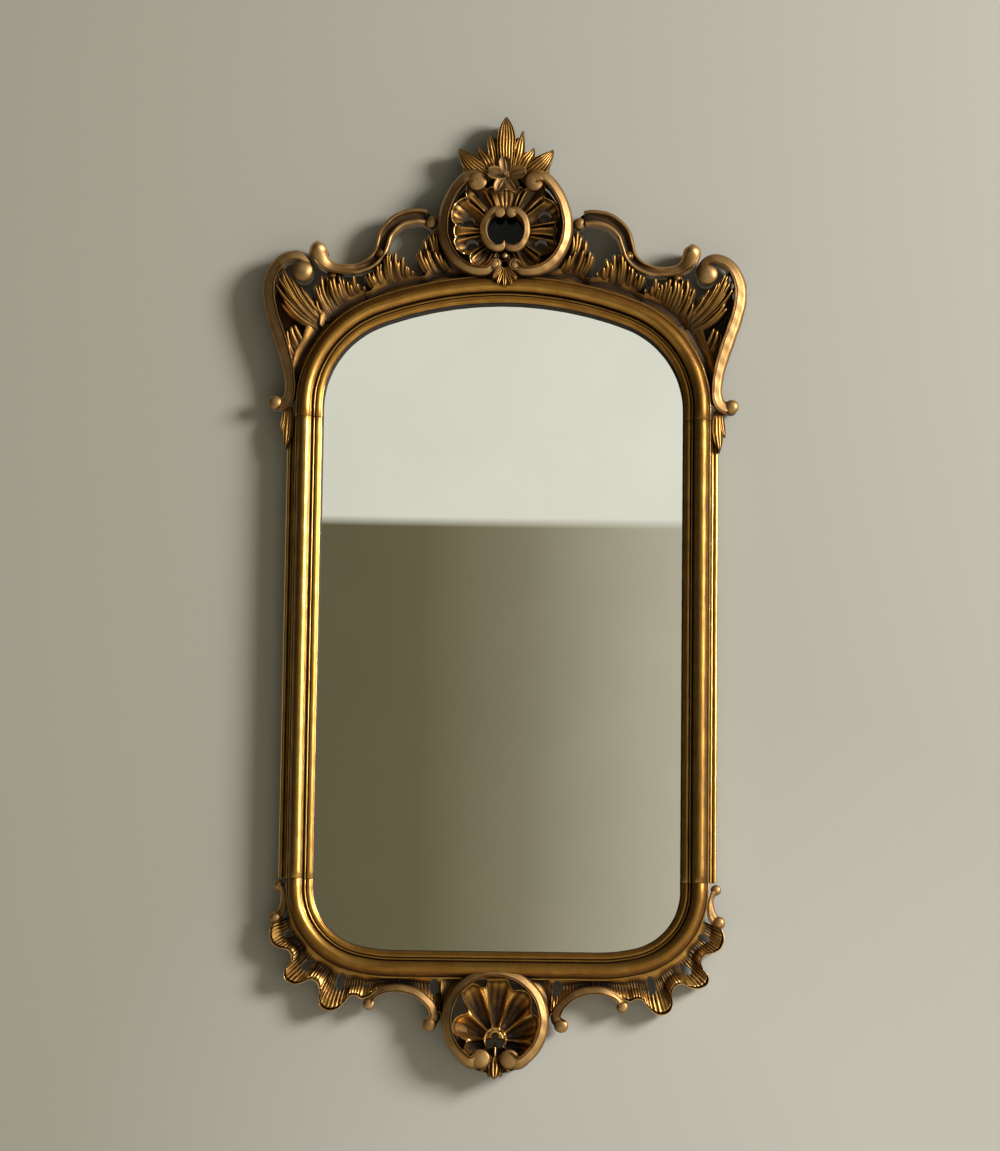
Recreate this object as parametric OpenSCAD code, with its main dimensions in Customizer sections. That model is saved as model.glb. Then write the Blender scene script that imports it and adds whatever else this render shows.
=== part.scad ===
// Pier mirror: arched glass in a gilt moulded frame, carved and pierced crest, fringed apron.
// Millimetres. The wall is the plane y = 0, the front faces -Y and +Z is up.
// The origin lies on the wall plane, midway between the pivots of the two hanging rings.
// Shapes are drawn in front view (x right, y up, z = height above the back of the carcass),
// measured from the middle of the bottom edge of the visible glass, then set up by front().

/* [Glass opening] */
// clear width of glass between the stiles
sight_w = 598.6; // [420:1:900]
// clear height of glass from the base rail to the crown of the arch
sight_h = 1075; // [800:1:1500]
// radius of the shallow crown of the arch
crown_r = 580; // [500:5:900]
// radius of the upper corners of the glass
shoulder_r = 150; // [110:1:200]
// radius of the lower corners of the glass
toe_r = 96; // [70:1:130]
// radius of the easing between a lower corner and the straight base
toe_ease_r = 260; // [200:5:400]
// horizontal run of a lower corner, easing included
toe_run = 134.3; // [132:1:180]

/* [Gilt moulding] */
// width of the quarter-round next to the glass
ovolo_w = 11.3; // [8:0.1:16]
// width of the flat that carries the fine bead
bead_flat_w = 6.7; // [5:0.1:10]
// radius of the fine bead
bead_r = 2.2; // [1.5:0.1:3]
// width of the big half-round
torus_w = 24; // [18:0.5:30]
// width of the thin outer fillet
fillet_w = 3.5; // [2:0.1:6]
// height of the flat fillet and of the axis of the half-round
fillet_h = 37.5; // [30:0.5:46]
// height of the crown of the quarter-round
ovolo_h = 36; // [30:0.5:44]
// straight leg of the head rail below the arch, down to the joint
head_leg = 19; // [10:1:60]
// straight leg of the base rail above the corner, up to the joint
base_leg = 13.5; // [8:1:60]
// width of the beaded strip outside each stile
strip_w = 13.5; // [10:0.5:20]

/* [Carcass] */
// thickness of the softwood carcass boards
carcass_d = 14; // [10:0.5:22]
// width of the ledge behind the moulding that holds the glass
rebate = 9; // [6:0.5:14]
// length of the half-laps between carcass boards
lap = 50; // [30:1:80]
// room between the back of the carcass and the wall
wall_gap = 10; // [9:0.1:14]

/* [Glass and back] */
// thickness of the mirror plate
glass_t = 4; // [3:0.5:6]
// thickness of the backing board
backing_t = 5; // [3:0.5:6]
// play of the plate and board in the rebate
glass_play = 1; // [0.5:0.1:2]

/* [Carving] */
// height of the broad scroll bands above the carcass back
scroll_h = 40; // [30:1:55]
// height of the round crest cartouche and of the apron ring
ring_h = 52; // [40:1:64]
// radius of the apron ring to the middle of its band
ring_r = 79.2; // [60:1:100]
// half width of the apron ring band
ring_hw = 8.1; // [5:0.1:10]
// drop of the apron ring centre below the edge of the glass
ring_drop = 112; // [100:1:140]
// half width of the crest cartouche band
cart_hw = 8.4; // [5:0.1:10]
// radius of the button in the flower
button_r = 5; // [3:0.1:8]

/* [Hanging hardware] */
// depth of the ring pivots below the crown of the glass
hang_drop = 275; // [250:1:500]
// radius of the ring wire
wire_r = 2; // [1.5:0.1:3]
// half width of the hanging ring, to the middle of the wire
eye_hw = 12; // [9:0.5:18]
// thickness of the hanger strap
strap_t = 2; // [1.5:0.1:3]
// width of the hanger strap
strap_w = 18; // [14:0.5:24]
// length of the hanger strap below the pivot
strap_l = 58; // [40:1:80]
// radius of the wood screws
screw_r = 1.8; // [1.2:0.1:2.5]

/* [Fits] */
// play between ring wire and strap loop
pivot_play = 0.08; // [0.05:0.01:0.3]
// bed of glue and gesso where carving is scribed to its neighbours
seat = 0.25; // [0.1:0.05:0.5]

/* [Hidden] */
hang_h = sight_h - hang_drop;

$fn = 96;
run_fn = 360;
big = 3000;
half = sight_w / 2;
mould_w = ovolo_w + bead_flat_w + torus_w + fillet_w;
torus_s = ovolo_w + bead_flat_w + torus_w / 2;
crown_z = sight_h - crown_r;
sh_x = half - shoulder_r;
sh_z = crown_z + sqrt(pow(crown_r - shoulder_r, 2) - sh_x * sh_x);
sh_a = atan2(sh_z - crown_z, sh_x);
toe_x = half - toe_r;
ease_x = half - toe_run;
toe_z = toe_ease_r - sqrt(pow(toe_ease_r - toe_r, 2) - pow(toe_x - ease_x, 2));
toe_a = atan2(toe_z - toe_ease_r, toe_x - ease_x);
joint_top = sh_z - head_leg;
joint_low = toe_z + base_leg;
lap_top = sh_z - 10;
lap_low = toe_z + 10;
glass_s = rebate - glass_play;
board_t = carcass_d;
// level bed that carries the shaped top of the moulding round the corners in one piece
bed_t = ovolo_h - 10;
// hairline between neighbouring runs of moulding on that bed
run_gap = 0.02;
stile_mid = half + (rebate + mould_w) / 2;

// the proportions the carving was drawn for, so that it can be carried along with the frame
ref_half = 299.3;
ref_mould = 45.5;
ref_crown_r = 580;
ref_shoulder_r = 150;
ref_crown_z = 495;
ref_sh_x = 149.3;
ref_sh_z = 898.26;

// height of the outer line of an arch over the distance x from its axis
function arch(x, r, rz, q, qx, qz) =
  abs(x) < r * qx / (r - q) ? rz + sqrt(r * r - x * x)
  : qz + sqrt(max(0, q * q - pow(abs(x) - qx, 2)));
function arch_now(x) = arch(x, crown_r + mould_w, crown_z, shoulder_r + mould_w, sh_x, sh_z);
function arch_ref(x) = arch(x, ref_crown_r + ref_mould, ref_crown_z, ref_shoulder_r + ref_mould,
  ref_sh_x, ref_sh_z);

// a point of the drawing carried to the present size of the frame
grow = half + mould_w - ref_half - ref_mould;
shift_shoulder = arch_now(300 + grow) - arch_ref(300);
function carry_x(a, a0, a1) = a < a0 ? a : a < a1 ? a + grow * (a - a0) / (a1 - a0) : a + grow;
function carry_up(p) = let(a = abs(p.x), n = carry_x(a, 113, 300))
  [sign(p.x) * n, p.y + (a < 300 ? arch_now(n) - arch_ref(a) : shift_shoulder)];
function carry_low(p) = let(a = abs(p.x), n = carry_x(a, 100, 200))
  [sign(p.x) * n, p.y - mould_w + ref_mould];
function carry(p) = p.y > 600 ? carry_up(p) : carry_low(p);
function tail(p) = [for(i = [2:1:len(p) - 1]) p[i]];
function carried(P) = [for(p = P) concat(carry(p), tail(p))];

// smooth curve through points; every further entry of a point is blended with it
function cr(a, b, c, d, t) = 0.5 * (2 * b + (c - a) * t + (2 * a - 5 * b + 4 * c - d) * t * t
  + (3 * b - a - 3 * c + d) * t * t * t);
function smooth(P, n) = let(m = len(P)) [for(i = [0:m - 2]) for(k = [0:n - 1])
  cr(P[max(i - 1, 0)], P[i], P[i + 1], P[min(i + 2, m - 1)], k / n), P[m - 1]];
function unit(v) = v / max(1e-6, norm(v));
function flat(p) = [p.x, p.y];
function ahead(P, i) = unit(flat(P[min(i + 1, len(P) - 1)]) - flat(P[max(i - 1, 0)]));
function left_of(t) = [-t.y, t.x];
function lerp(a, b, f) = a + (b - a) * f;

// sections of carved bands: across -1..1, height 0..1
sec_round = [[-1, 0], [-1, 0.76], [-0.6, 1], [0.6, 1], [1, 0.76], [1, 0]];
sec_channel = [[-1, 0], [-1, 0.8], [-0.6, 1], [-0.34, 0.6], [0.34, 0.56], [0.6, 0.84], [1, 0.66], [1, 0]];
sec_leaf = [[-1, 0], [-0.66, 0.72], [0.05, 1], [0.66, 0.7], [1, 0]];
sec_lobe = [[-1, 0], [-0.55, 0.8], [0.2, 1], [1, 0]];

// band swept along points [x, y, half width, height], standing on the level base
module band(P, sec, base) {
  m = len(sec);
  n = len(P);
  pts = [for(i = [0:n - 1]) let(w = left_of(ahead(P, i))) for(q = sec)
    [P[i].x + w.x * q.x * P[i][2], P[i].y + w.y * q.x * P[i][2], base + q.y * (P[i][3] - base)]];
  faces = concat(
    [for(i = [0:n - 2]) for(j = [0:m - 1]) [i * m + j, i * m + (j + 1) % m, (i + 1) * m + (j + 1) % m]],
    [for(i = [0:n - 2]) for(j = [0:m - 1]) [i * m + j, (i + 1) * m + (j + 1) % m, (i + 1) * m + j]],
    [for(j = [1:m - 2]) [0, j + 1, j]],
    [for(j = [1:m - 2]) [(n - 1) * m, (n - 1) * m + j, (n - 1) * m + j + 1]]);
  polyhedron(pts, faces, convexity = 8);
}

// outline of a band in the plane, made wider by more
module band_plan(P, more) {
  n = len(P);
  l = [for(i = [0:n - 1]) flat(P[i]) - left_of(ahead(P, i)) * max(0.4, P[i][2] + more)];
  r = [for(i = [n - 1:-1:0]) flat(P[i]) + left_of(ahead(P, i)) * max(0.4, P[i][2] + more)];
  polygon(concat(l, r));
}

// round knob that ends a scroll: a ball on a short neck
module knob(p, r, base, h) {
  translate([p.x, p.y, max(h, base + r)])
  sphere(r, $fn = 48);
  translate([p.x, p.y, base])
  cylinder(h = max(h, base + r) - base, r = r * 0.8, $fn = 48);
}
module knob_plan(p, r, more) {
  translate([p.x, p.y])
  circle((r + more) / cos(9), $fn = 20);
}

// leaf lobe from root to tip, bowed to the right of its direction
function lobe_line(a, b, bow, hw, h0, h1, n) = let(d = b - a, c = (a + b) / 2 + [d.y, -d.x] * bow)
  [for(i = [0:n]) let(f = i / n, p = a * (1 - f) * (1 - f) + c * 2 * f * (1 - f) + b * f * f)
    [p.x, p.y, hw * (0.8 + 0.35 * sin(180 * f) - 0.62 * pow(f, 6)), lerp(h0, h1, sin(100 * f))]];
module lobe(a, b, bow, hw, h0, h1) {
  band(lobe_line(a, b, bow, hw, h0, h1, 4), sec_lobe, board_t);
}
// one side's leaf group: [root x, tip x, tip y, bow, half width, height]; roots lie on the arch
module leaf_group(L) {
  for(q = L) {
    tip = carry_up([q[1], q[2]]);
    root_x = carry_x(q[0], 113, 300);
    lobe([root_x, arch_now(root_x) - 5], tip, q[3], q[4], board_t + 9, q[5]);
  }
}

// drawn on one side (x > 0), given as pairs so that left and right stay alike
inner_leaves = [[96, 118, 1202, 0, 6.5, 38], [100, 127, 1197, -0.1, 7, 41], [104, 138, 1180, -0.04, 6.5, 38],
  [112, 151, 1161, 0.05, 7, 42], [124, 146, 1128, 0.12, 5, 32]];
middle_leaves = [[152, 166, 1145, 0.1, 5, 38], [162, 183, 1157, 0.12, 5.5, 40], [172, 195, 1158, 0.14, 6.5, 44],
  [184, 208, 1146, 0.16, 6.5, 42], [196, 226, 1124, 0.16, 5.5, 36], [210, 238, 1114, 0.14, 5, 34]];
outer_leaves = [[240, 256, 1109, 0.14, 5, 36], [250, 268, 1113, 0.16, 6, 40], [262, 291, 1108, 0.22, 7.5, 46],
  [276, 303, 1106, 0.2, 6, 42], [284, 314, 1098, 0.2, 5.5, 39], [290, 322, 1092, 0.2, 5, 36]];
spray_leaves = [[[312, 1030], [341, 1091], 0.16, 5.5, 36], [[320, 1022], [352, 1094], 0.2, 6.5, 40],
  [[326, 1012], [366, 1124], 0.26, 7, 44], [[332, 1004], [379, 1124], 0.28, 7, 42],
  [[334, 990], [386, 1096], 0.26, 6, 38], [[337, 972], [366, 1024], 0.2, 9, 36],
  [[338, 958], [358, 1004], 0.1, 8, 34], [[340, 930], [346, 975], 0.02, 5, 30]];

s_line = [[124, 1214, 12, 34], [134, 1221, 13.5, 38], [150, 1222, 14, 40], [177, 1214.8, 14, 40],
  [196.8, 1195, 13.5, 40], [204, 1174, 12.5, 40], [209, 1158, 11.5, 40], [222, 1143, 10.5, 39],
  [243, 1132.5, 9.5, 38], [268, 1130.5, 9, 37], [291, 1136, 9, 37], [307, 1149, 9, 36]];
s_knobs = [[309, 1158, 15.5], [124, 1212, 10.5]];
shoulder_line = [[324, 1126, 6, 36], [330, 1142, 6.6, 38], [340, 1151, 7.8, 39], [353, 1153, 8.6, 40],
  [370, 1147, 9, 41], [383.5, 1131.5, 9.2, 42], [392.5, 1110, 9.4, 42], [393.5, 1084, 9.6, 42],
  [388, 1056, 10, 42], [379, 1028, 10.2, 42], [369.5, 1000, 10.2, 42], [361, 972, 9.4, 41],
  [356, 946, 8.6, 40], [355, 922, 8.8, 39], [361, 905, 10, 38], [374, 901, 11, 36]];
shoulder_knobs = [[337, 1125, 18], [379, 903, 12.5]];
cart_line = [[47, 1288, 13, 50], [58, 1291, 11, ring_h], [72, 1283.5, 9, ring_h], [87.3, 1264.5, cart_hw, ring_h],
  [99, 1238, cart_hw, ring_h], [104.5, 1209, cart_hw, ring_h], [101.5, 1180, cart_hw, ring_h],
  [89, 1153, cart_hw, ring_h], [70, 1134.5, cart_hw, ring_h], [48, 1126, cart_hw, ring_h],
  [28, 1126, 8, ring_h], [16, 1137, 8, ring_h]];
cart_knobs = [[47, 1287, 14, 42], [16, 1138, 12, 44]];
apron_line = [[108, -118, 9.5, 32], [98.5, -107, 8.6, 34], [103, -91, 7.6, 35], [116, -77, 7.2, 36],
  [134, -66, 7, 36], [156, -61, 7, 36], [180, -63, 6.8, 36], [198, -71, 6.6, 34], [208, -84, 6.6, 32]];
apron_knobs = [[207, -87, 11.5], [107, -119, 12]];
side_line = [[355, 101, 5.5, 30], [350, 90, 4, 29], [349, 76, 5.6, 28], [351.5, 62, 7.6, 27], [360, 51, 8.5, 26]];
side_knobs = [[357, 103.5, 8.6], [362, 50, 10.5]];

// fringe: outer scalloped edge from the apron ring up to the side scroll
fringe_edge = [[86, -104], [97, -96], [110, -84], [126, -72], [146, -62.5], [168, -60], [190, -66],
  [206, -76], [218, -80], [227, -76], [238, -77], [247, -87], [258, -97], [272, -100], [284, -94],
  [288, -82], [286.5, -68], [292, -55], [304, -50], [318, -56], [332, -57], [344, -50], [346, -38],
  [338, -26], [334, -14], [340, -3], [354, 1], [366, 8], [371, 22], [368, 38], [357, 45]];
fringe_holes = [[100, -59, 8, 13, 0], [253, -52, 7.5, 14, 12], [309, -26, 6.5, 11, 48], [338, 25, 5.5, 10, 70]];

spray_root = [[[312, 1036], [346, 930], -0.16, 11, 33]];

function s_points(n = 2) = smooth(carried(s_line), n);
function shoulder_points(n = 2) = smooth(carried(shoulder_line), n);
function cart_points(n = 2) = smooth(carried(cart_line), n);
function apron_points(n = 2) = smooth(carried(apron_line), n);
function side_points(n = 2) = smooth(carried(side_line), n);
ring_c = [0, -ring_drop - mould_w + ref_mould];
// curled tail of the apron ring and the ball that ends it, from the centre of the ring
ring_tail = [[18, -52, 7, ring_h - 8], [22, -56, 7.6, ring_h - 6], [31, -63, 7.6, ring_h - 3],
  [43.5, -66, 7, ring_h - 1.5], [56, -58, 6.4, ring_h - 1.5]];
ring_knob = [25, -54];
function ring_section() = [for(q = sec_round) [q.x * ring_hw, board_t + q.y * (ring_h - board_t)]];
function ring_all() = [for(a = [-48:12:228]) [ring_c.x + ring_r * cos(a), ring_c.y + ring_r * sin(a), ring_hw + 0.4]];

module front() {
  translate([0, -wall_gap, -hang_h])
  rotate([90, 0, 0])
  children();
}
module both() {
  children();
  mirror([1, 0, 0])
  children();
}
module side(s) {
  if (s > 0) {
    children();
  } else {
    mirror([1, 0, 0])
    children();
  }
}
// one solid from many crossing pieces of carving
module carved() {
  resize([0, 0, 0])
  children();
}

// ---- outline of the frame at the distance s outside the edge of the glass ----
module wedge(a0, a1, r) {
  polygon([[0, 0], [r * cos(a0), r * sin(a0)], [r * cos(a1), r * sin(a1)]]);
}
// a coarse outline (q > 1) lies just outside the true one
module disc(r, n, q) {
  circle(q > 1 ? r / cos(180 * q / n) : r, $fn = n / q);
}
module outline(s, q = 1) {
  polygon([[sh_x, sh_z], [0, crown_z + crown_r - shoulder_r], [-sh_x, sh_z], [-half - s, sh_z],
    [-half - s, toe_z], [-toe_x, toe_z], [-ease_x, -s], [ease_x, -s], [toe_x, toe_z], [half + s, toe_z],
    [half + s, sh_z]]);
  translate([0, crown_z])
  intersection() {
    disc(crown_r + s, 720, q);
    wedge(sh_a, 180 - sh_a, 2 * crown_r + 200);
  }
  for(m = [-1, 1]) {
    translate([m * sh_x, sh_z])
    disc(shoulder_r + s, 360, q);
    translate([m * toe_x, toe_z])
    disc(toe_r + s, 240, q);
    translate([m * ease_x, toe_ease_r])
    intersection() {
      disc(toe_ease_r + s, 480, q);
      wedge(m > 0 ? -90 : -180 - toe_a, m > 0 ? toe_a : -90, 2 * toe_ease_r + 200);
    }
  }
}
// body of the frame as a plug that carving is scribed to
module frame_plug(s) {
  translate([0, 0, -20])
  linear_extrude(120)
  outline(s, 5);
}

// ---- runs of moulding ----
module arc_run(c, r, a0, a1) {
  e = run_gap / 2 / r * 180 / PI;
  translate([c.x, c.y, 0])
  rotate([0, 0, a0 + e])
  rotate_extrude(angle = a1 - a0 - 2 * e, $fn = run_fn)
  translate([r, 0])
  children();
}
module leg_run(z_top, len) {
  translate([half, z_top, 0])
  rotate([90, 0, 0])
  linear_extrude(len)
  children();
}
module flat_run() {
  translate([ease_x - run_gap / 2, 0, 0])
  rotate([90, 0, -90])
  linear_extrude(2 * ease_x - run_gap)
  children();
}
module head_run(leg) {
  arc_run([0, crown_z], crown_r, sh_a, 180 - sh_a)
  children();
  both() {
    arc_run([sh_x, sh_z], shoulder_r, 0, sh_a)
    children();
    leg_run(sh_z - run_gap / 2, leg - run_gap / 2)
    children();
  }
}
module base_run(leg) {
  flat_run()
  children();
  both() {
    arc_run([ease_x, toe_ease_r], toe_ease_r, -90, toe_a)
    children();
    arc_run([toe_x, toe_z], toe_r, toe_a, 0)
    children();
    leg_run(toe_z + leg, leg - run_gap / 2)
    children();
  }
}

function arc(c, r, a0, a1, n) = [for(i = [0:n]) let(a = lerp(a0, a1, i / n)) c + r * [cos(a), sin(a)]];
// lip, quarter-round, fine bead, half-round and fillet, from the glass edge outward
function moulding_points(low) = let(floor_t = fillet_h - 4.5, w0 = ovolo_w + bead_flat_w, w1 = w0 + torus_w,
  q = 8.5, cut = acos(1.8 / q)) concat(
  [[0, low], [0, ovolo_h - 9], [0.5, ovolo_h - 8.2]],
  arc([ovolo_w - 1.8, ovolo_h - q], q, 180, cut, 7),
  [[ovolo_w, floor_t]],
  arc([ovolo_w + bead_flat_w / 2, floor_t], bead_r, 180, 0, 6),
  [[w0, floor_t]],
  arc([torus_s, fillet_h], torus_w / 2, 180, 0, 18),
  [[w1, fillet_h - 2.5], [w1 + 0.8, fillet_h - 2.5], [w1 + 0.8, fillet_h], [mould_w, fillet_h],
  [mould_w, low]]);
module moulding_section(low) {
  polygon(moulding_points(low));
}
module rail_bed(z0, z1) {
  translate([0, 0, carcass_d])
  linear_extrude(bed_t - carcass_d)
  difference() {
    intersection() {
      outline(mould_w);
      translate([-big, z0])
      square([2 * big, z1 - z0]);
    }
    outline(0);
  }
}
// the moulding with its bed of glue, used to scribe pieces that lap over it
module plug_section() {
  translate([-2, -20])
  square([mould_w + 2 + seat, 20 + fillet_h + seat]);
  translate([torus_s, fillet_h])
  circle(torus_w / 2 + seat, $fn = 32);
}
module head_plug() {
  arc_run([0, crown_z], crown_r, 80, 100)
  plug_section();
}

module head_rail() {
  color("#b08a4a")
  front()
  union() {
    rail_bed(joint_top, sight_h + 100);
    head_run(head_leg)
    moulding_section(bed_t);
  }
}
module base_rail() {
  color("#b08a4a")
  front()
  union() {
    rail_bed(-100, joint_low);
    base_run(base_leg)
    moulding_section(bed_t);
  }
}
module stile(s) {
  color("#a9823f")
  front()
  side(s)
  leg_run(joint_top, joint_top - joint_low)
  moulding_section(carcass_d);
}
module outer_strip(s) {
  top = joint_top + 4;
  low = joint_low + 1.5;
  color("#9c7a3c")
  front()
  side(s)
  leg_run(top, top - low)
  polygon(concat([[mould_w, 4], [mould_w, 20]], arc([mould_w + 3.1, 20], 2.7, 180, 0, 8),
    [[mould_w + 5.8, 18]], arc([mould_w + strip_w - 3.9, 18], 3.8, 180, 0, 9), [[mould_w + strip_w, 18],
    [mould_w + strip_w, 4]]));
}

// ---- carcass ----
module lap_holes() {
  for(q = lap_screw_points())
    translate([q.x, q.y, 0])
    wood_screw(12);
}
function lap_screw_points() = [for(m = [-1, 1]) for(z = [lap_top - lap / 2, lap_low + lap / 2])
  for(k = [-1, 1]) [m * (stile_mid + k * 7), z + k * 12]];
module wood_screw(l) {
  rotate_extrude($fn = 32)
  polygon([[0, 0], [screw_r * 2.1, 0], [screw_r * 2.1, 0.3], [screw_r, screw_r * 1.4], [screw_r, l - 2],
    [0.3, l], [0, l]]);
}
module screw_slot(l) {
  translate([-screw_r * 3, -0.5, -1])
  cube([screw_r * 6, 1, 1.9]);
}
module pad_places() {
  for(m = [-1, 1]) {
    translate([m * stile_mid, 160, 0])
    children();
    translate([m * stile_mid, sh_z - 260, 0])
    children();
  }
}
module batten_bores() {
  for(q = batten_screw_points())
    translate([q.x, q.y, -batten_t])
    wood_screw(14);
}
module carcass_plan(z0, z1) {
  difference() {
    intersection() {
      outline(mould_w);
      translate([-big, z0])
      square([2 * big, z1 - z0]);
    }
    outline(rebate);
  }
}
module carcass_head() {
  color("#b99b6b")
  front()
  difference() {
    linear_extrude(carcass_d)
    carcass_plan(lap_top - lap, sight_h + 100);
    translate([-big, lap_top - lap - 1, -1])
    cube([2 * big, lap + 1, carcass_d / 2 + 1]);
    lap_holes();
    batten_bores();
    brads();
  }
}
module carcass_base() {
  color("#b99b6b")
  front()
  difference() {
    linear_extrude(carcass_d)
    carcass_plan(-100, lap_low + lap);
    translate([-big, lap_low, -1])
    cube([2 * big, lap + 1, carcass_d / 2 + 1]);
    lap_holes();
    batten_bores();
    brads();
  }
}
module carcass_stile(s) {
  x0 = s > 0 ? half + rebate : -half - mould_w;
  color("#b2935f")
  front()
  difference() {
    translate([x0, lap_low, 0])
    cube([mould_w - rebate, lap_top - lap_low, carcass_d]);
    translate([x0 - 1, lap_top - lap, carcass_d / 2])
    cube([mould_w, lap + 1, carcass_d]);
    translate([x0 - 1, lap_low - 1, carcass_d / 2])
    cube([mould_w, lap + 1, carcass_d]);
    lap_holes();
    brads();
    hanger_bores();
  }
}
module lap_screws() {
  color("#8d8a80")
  front()
  difference() {
    lap_holes();
    for(q = lap_screw_points())
      translate([q.x, q.y, 0])
      screw_slot();
  }
}

// ---- glass and back ----
module mirror_glass() {
  color("#cfd6d4")
  front()
  translate([0, 0, carcass_d - glass_t])
  linear_extrude(glass_t)
  outline(glass_s);
}
module backing_board() {
  color("#9a7d52")
  front()
  translate([0, 0, carcass_d - glass_t - backing_t])
  linear_extrude(backing_t)
  outline(glass_s);
}
brad_r = 0.7;
brad_n = 5;
brad_t = carcass_d - glass_t - backing_t - brad_r;
module brad() {
  translate([0, 0, brad_t])
  rotate([0, 90, 0])
  cylinder(h = 20, r = brad_r, $fn = 16);
}
module brads() {
  for(m = [0, 1])
    mirror([m, 0, 0]) {
      for(k = [0:brad_n - 1])
        translate([half - 4, lerp(lap_low + lap + 40, lap_top - lap - 40, k / (brad_n - 1)), 0])
        brad();
      translate([0, crown_z, 0])
      rotate([0, 0, sh_a + 8])
      translate([crown_r - 4, 0, 0])
      brad();
      translate([ease_x / 2, 4, 0])
      rotate([0, 0, -90])
      brad();
    }
}
module backing_brads() {
  color("#7f7b70")
  front()
  brads();
}

// ---- battens across the joint between carcass and pierced boards ----
batten_t = 6;
batten_w = 34;
function batten_screw_points() = concat(
  [for(k = [-1, 1]) [k * 9, sight_h + 22], [0, sight_h + 190]],
  [for(m = [-1, 1]) for(k = [0, 1]) side_batten_point(m, k)],
  [for(k = [-1, 1]) [k * 9, -(rebate + mould_w) / 2]], [[0, ring_c.y + 40]]);
function side_batten_point(m, k) = let(x = m * (half - 47), r = shoulder_r + (k == 0 ? 22 : mould_w + 40),
  a = 52) [m * (sh_x + r * cos(a)), sh_z + r * sin(a)];
module batten_centre() {
  color("#a98a5b")
  front()
  difference() {
    union() {
      translate([-batten_w / 2, sight_h + rebate + 3, -batten_t])
      cube([batten_w, 215, batten_t]);
      translate([-batten_w / 2, ring_c.y - 30, -batten_t])
      cube([batten_w, 30 - ring_c.y - rebate - 3, batten_t]);
    }
    batten_bores();
  }
}
module battens_side() {
  color("#a98a5b")
  front()
  difference() {
    for(m = [0, 1])
      mirror([m, 0, 0])
      translate([sh_x, sh_z, 0])
      rotate([0, 0, 52])
      translate([shoulder_r + rebate + 2, -batten_w / 2, -batten_t])
      cube([mould_w + 48, batten_w, batten_t]);
    batten_bores();
  }
}
module batten_screws() {
  color("#8d8a80")
  front()
  difference() {
    batten_bores();
    for(q = batten_screw_points())
      translate([q.x, q.y, -batten_t])
      screw_slot();
  }
}

// ---- pierced boards ----
module arch_band_plan(s0, s1) {
  difference() {
    intersection() {
      outline(s1, 3);
      translate([-big, joint_top + 30])
      square([2 * big, big]);
    }
    outline(s0, 3);
  }
}
module leaf_plan(L, drop, reach) {
  for(q = L) {
    tip = carry_up([q[1], q[2]]);
    root_x = carry_x(q[0], 113, 300);
    a = [root_x, arch_now(root_x) - 5];
    P = lobe_line(a, lerp(a, tip, reach), q[3], q[4], 20, 20, 4);
    band_plan(P, -drop);
  }
}
module crest_plan() {
  inset = -2.5;
  both() {
    band_plan(s_points(1), inset);
    band_plan(shoulder_points(1), inset);
    for(q = concat(s_knobs, shoulder_knobs))
      knob_plan(carry(q), q[2], inset);
    band_plan(cart_points(1), inset);
    leaf_plan(inner_leaves, 1.5, 0.93);
    leaf_plan(middle_leaves, 1, 0.95);
    leaf_plan(outer_leaves, 1, 0.95);
    for(q = spray_leaves)
      band_plan(lobe_line(carry(q[0]), lerp(carry(q[0]), carry(q[1]), 0.94), q[2], q[3], 20, 20, 4), -1);
    for(q = spray_root)
      band_plan(lobe_line(carry(q[0]), carry(q[1]), q[2], q[3], 20, 20, 4), -1);
    band_plan([concat(carry([284, 1090]), [13]), concat(carry([286, 1132]), [13])], 0);
    band_plan([concat(carry([202, 1115]), [14]), concat(carry([206, 1150]), [14])], 0);
    polygon([for(p = [[34, 1284], [72, 1337], [66, 1312], [60, 1296]]) carry(p)]);
  }
  arch_band_plan(mould_w, mould_w + 11);
  translate(carry([0, 1200]))
  circle(99, $fn = 60);
  polygon([for(p = [[-36, 1260], [36, 1260], [36, 1300], [24, 1345], [25, 1366], [10, 1358], [9, 1376], [0, 1389],
    [-9, 1376], [-10, 1358], [-25, 1362], [-24, 1345], [-36, 1300]]) carry(p)]);
  polygon([for(p = [[-110, 1100], [110, 1100], [70, 1140], [-70, 1140]]) carry(p)]);
}
cart_c = carry([0, 1199]);
shell_holes = [[-62, 14.5, 11.5, 10, 2], [-55, -24, 10.5, 9, 8], [66, 25, 11, 10, -4], [60, -23, 10, 9, -12]];
module crest_holes() {
  translate([cart_c.x, cart_c.y])
  for(q = shell_holes)
    translate([q[0], q[1]])
    rotate([0, 0, q[4]])
    scale([q[2] / q[3], 1])
    circle(q[3], $fn = 16);
}
module crest_board() {
  color("#8f6f3c")
  front()
  difference() {
    linear_extrude(board_t)
    offset(delta = 0)
    difference() {
      crest_plan();
      outline(mould_w + seat, 3);
      crest_holes();
    }
    batten_bores();
  }
}

// ---- crest carving ----
module cart_knobs_plan(more) {
  for(q = cart_knobs)
    knob_plan(carry(q), q[2], more);
}
module cart_plan(more) {
  band_plan(cart_points(), more);
  cart_knobs_plan(more);
}
module cart_block(more) {
  translate([0, 0, -20])
  linear_extrude(160)
  both()
  cart_plan(more);
}
module cartouche_scroll(s) {
  color("#a88348")
  front()
  side(s) {
    carved()
    difference() {
      band(cart_points(), sec_round, board_t);
      frame_plug(mould_w + seat);
    }
    for(q = cart_knobs)
      knob(carry(q), q[2], board_t, q[3]);
  }
}
shell_in = 34;
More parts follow.
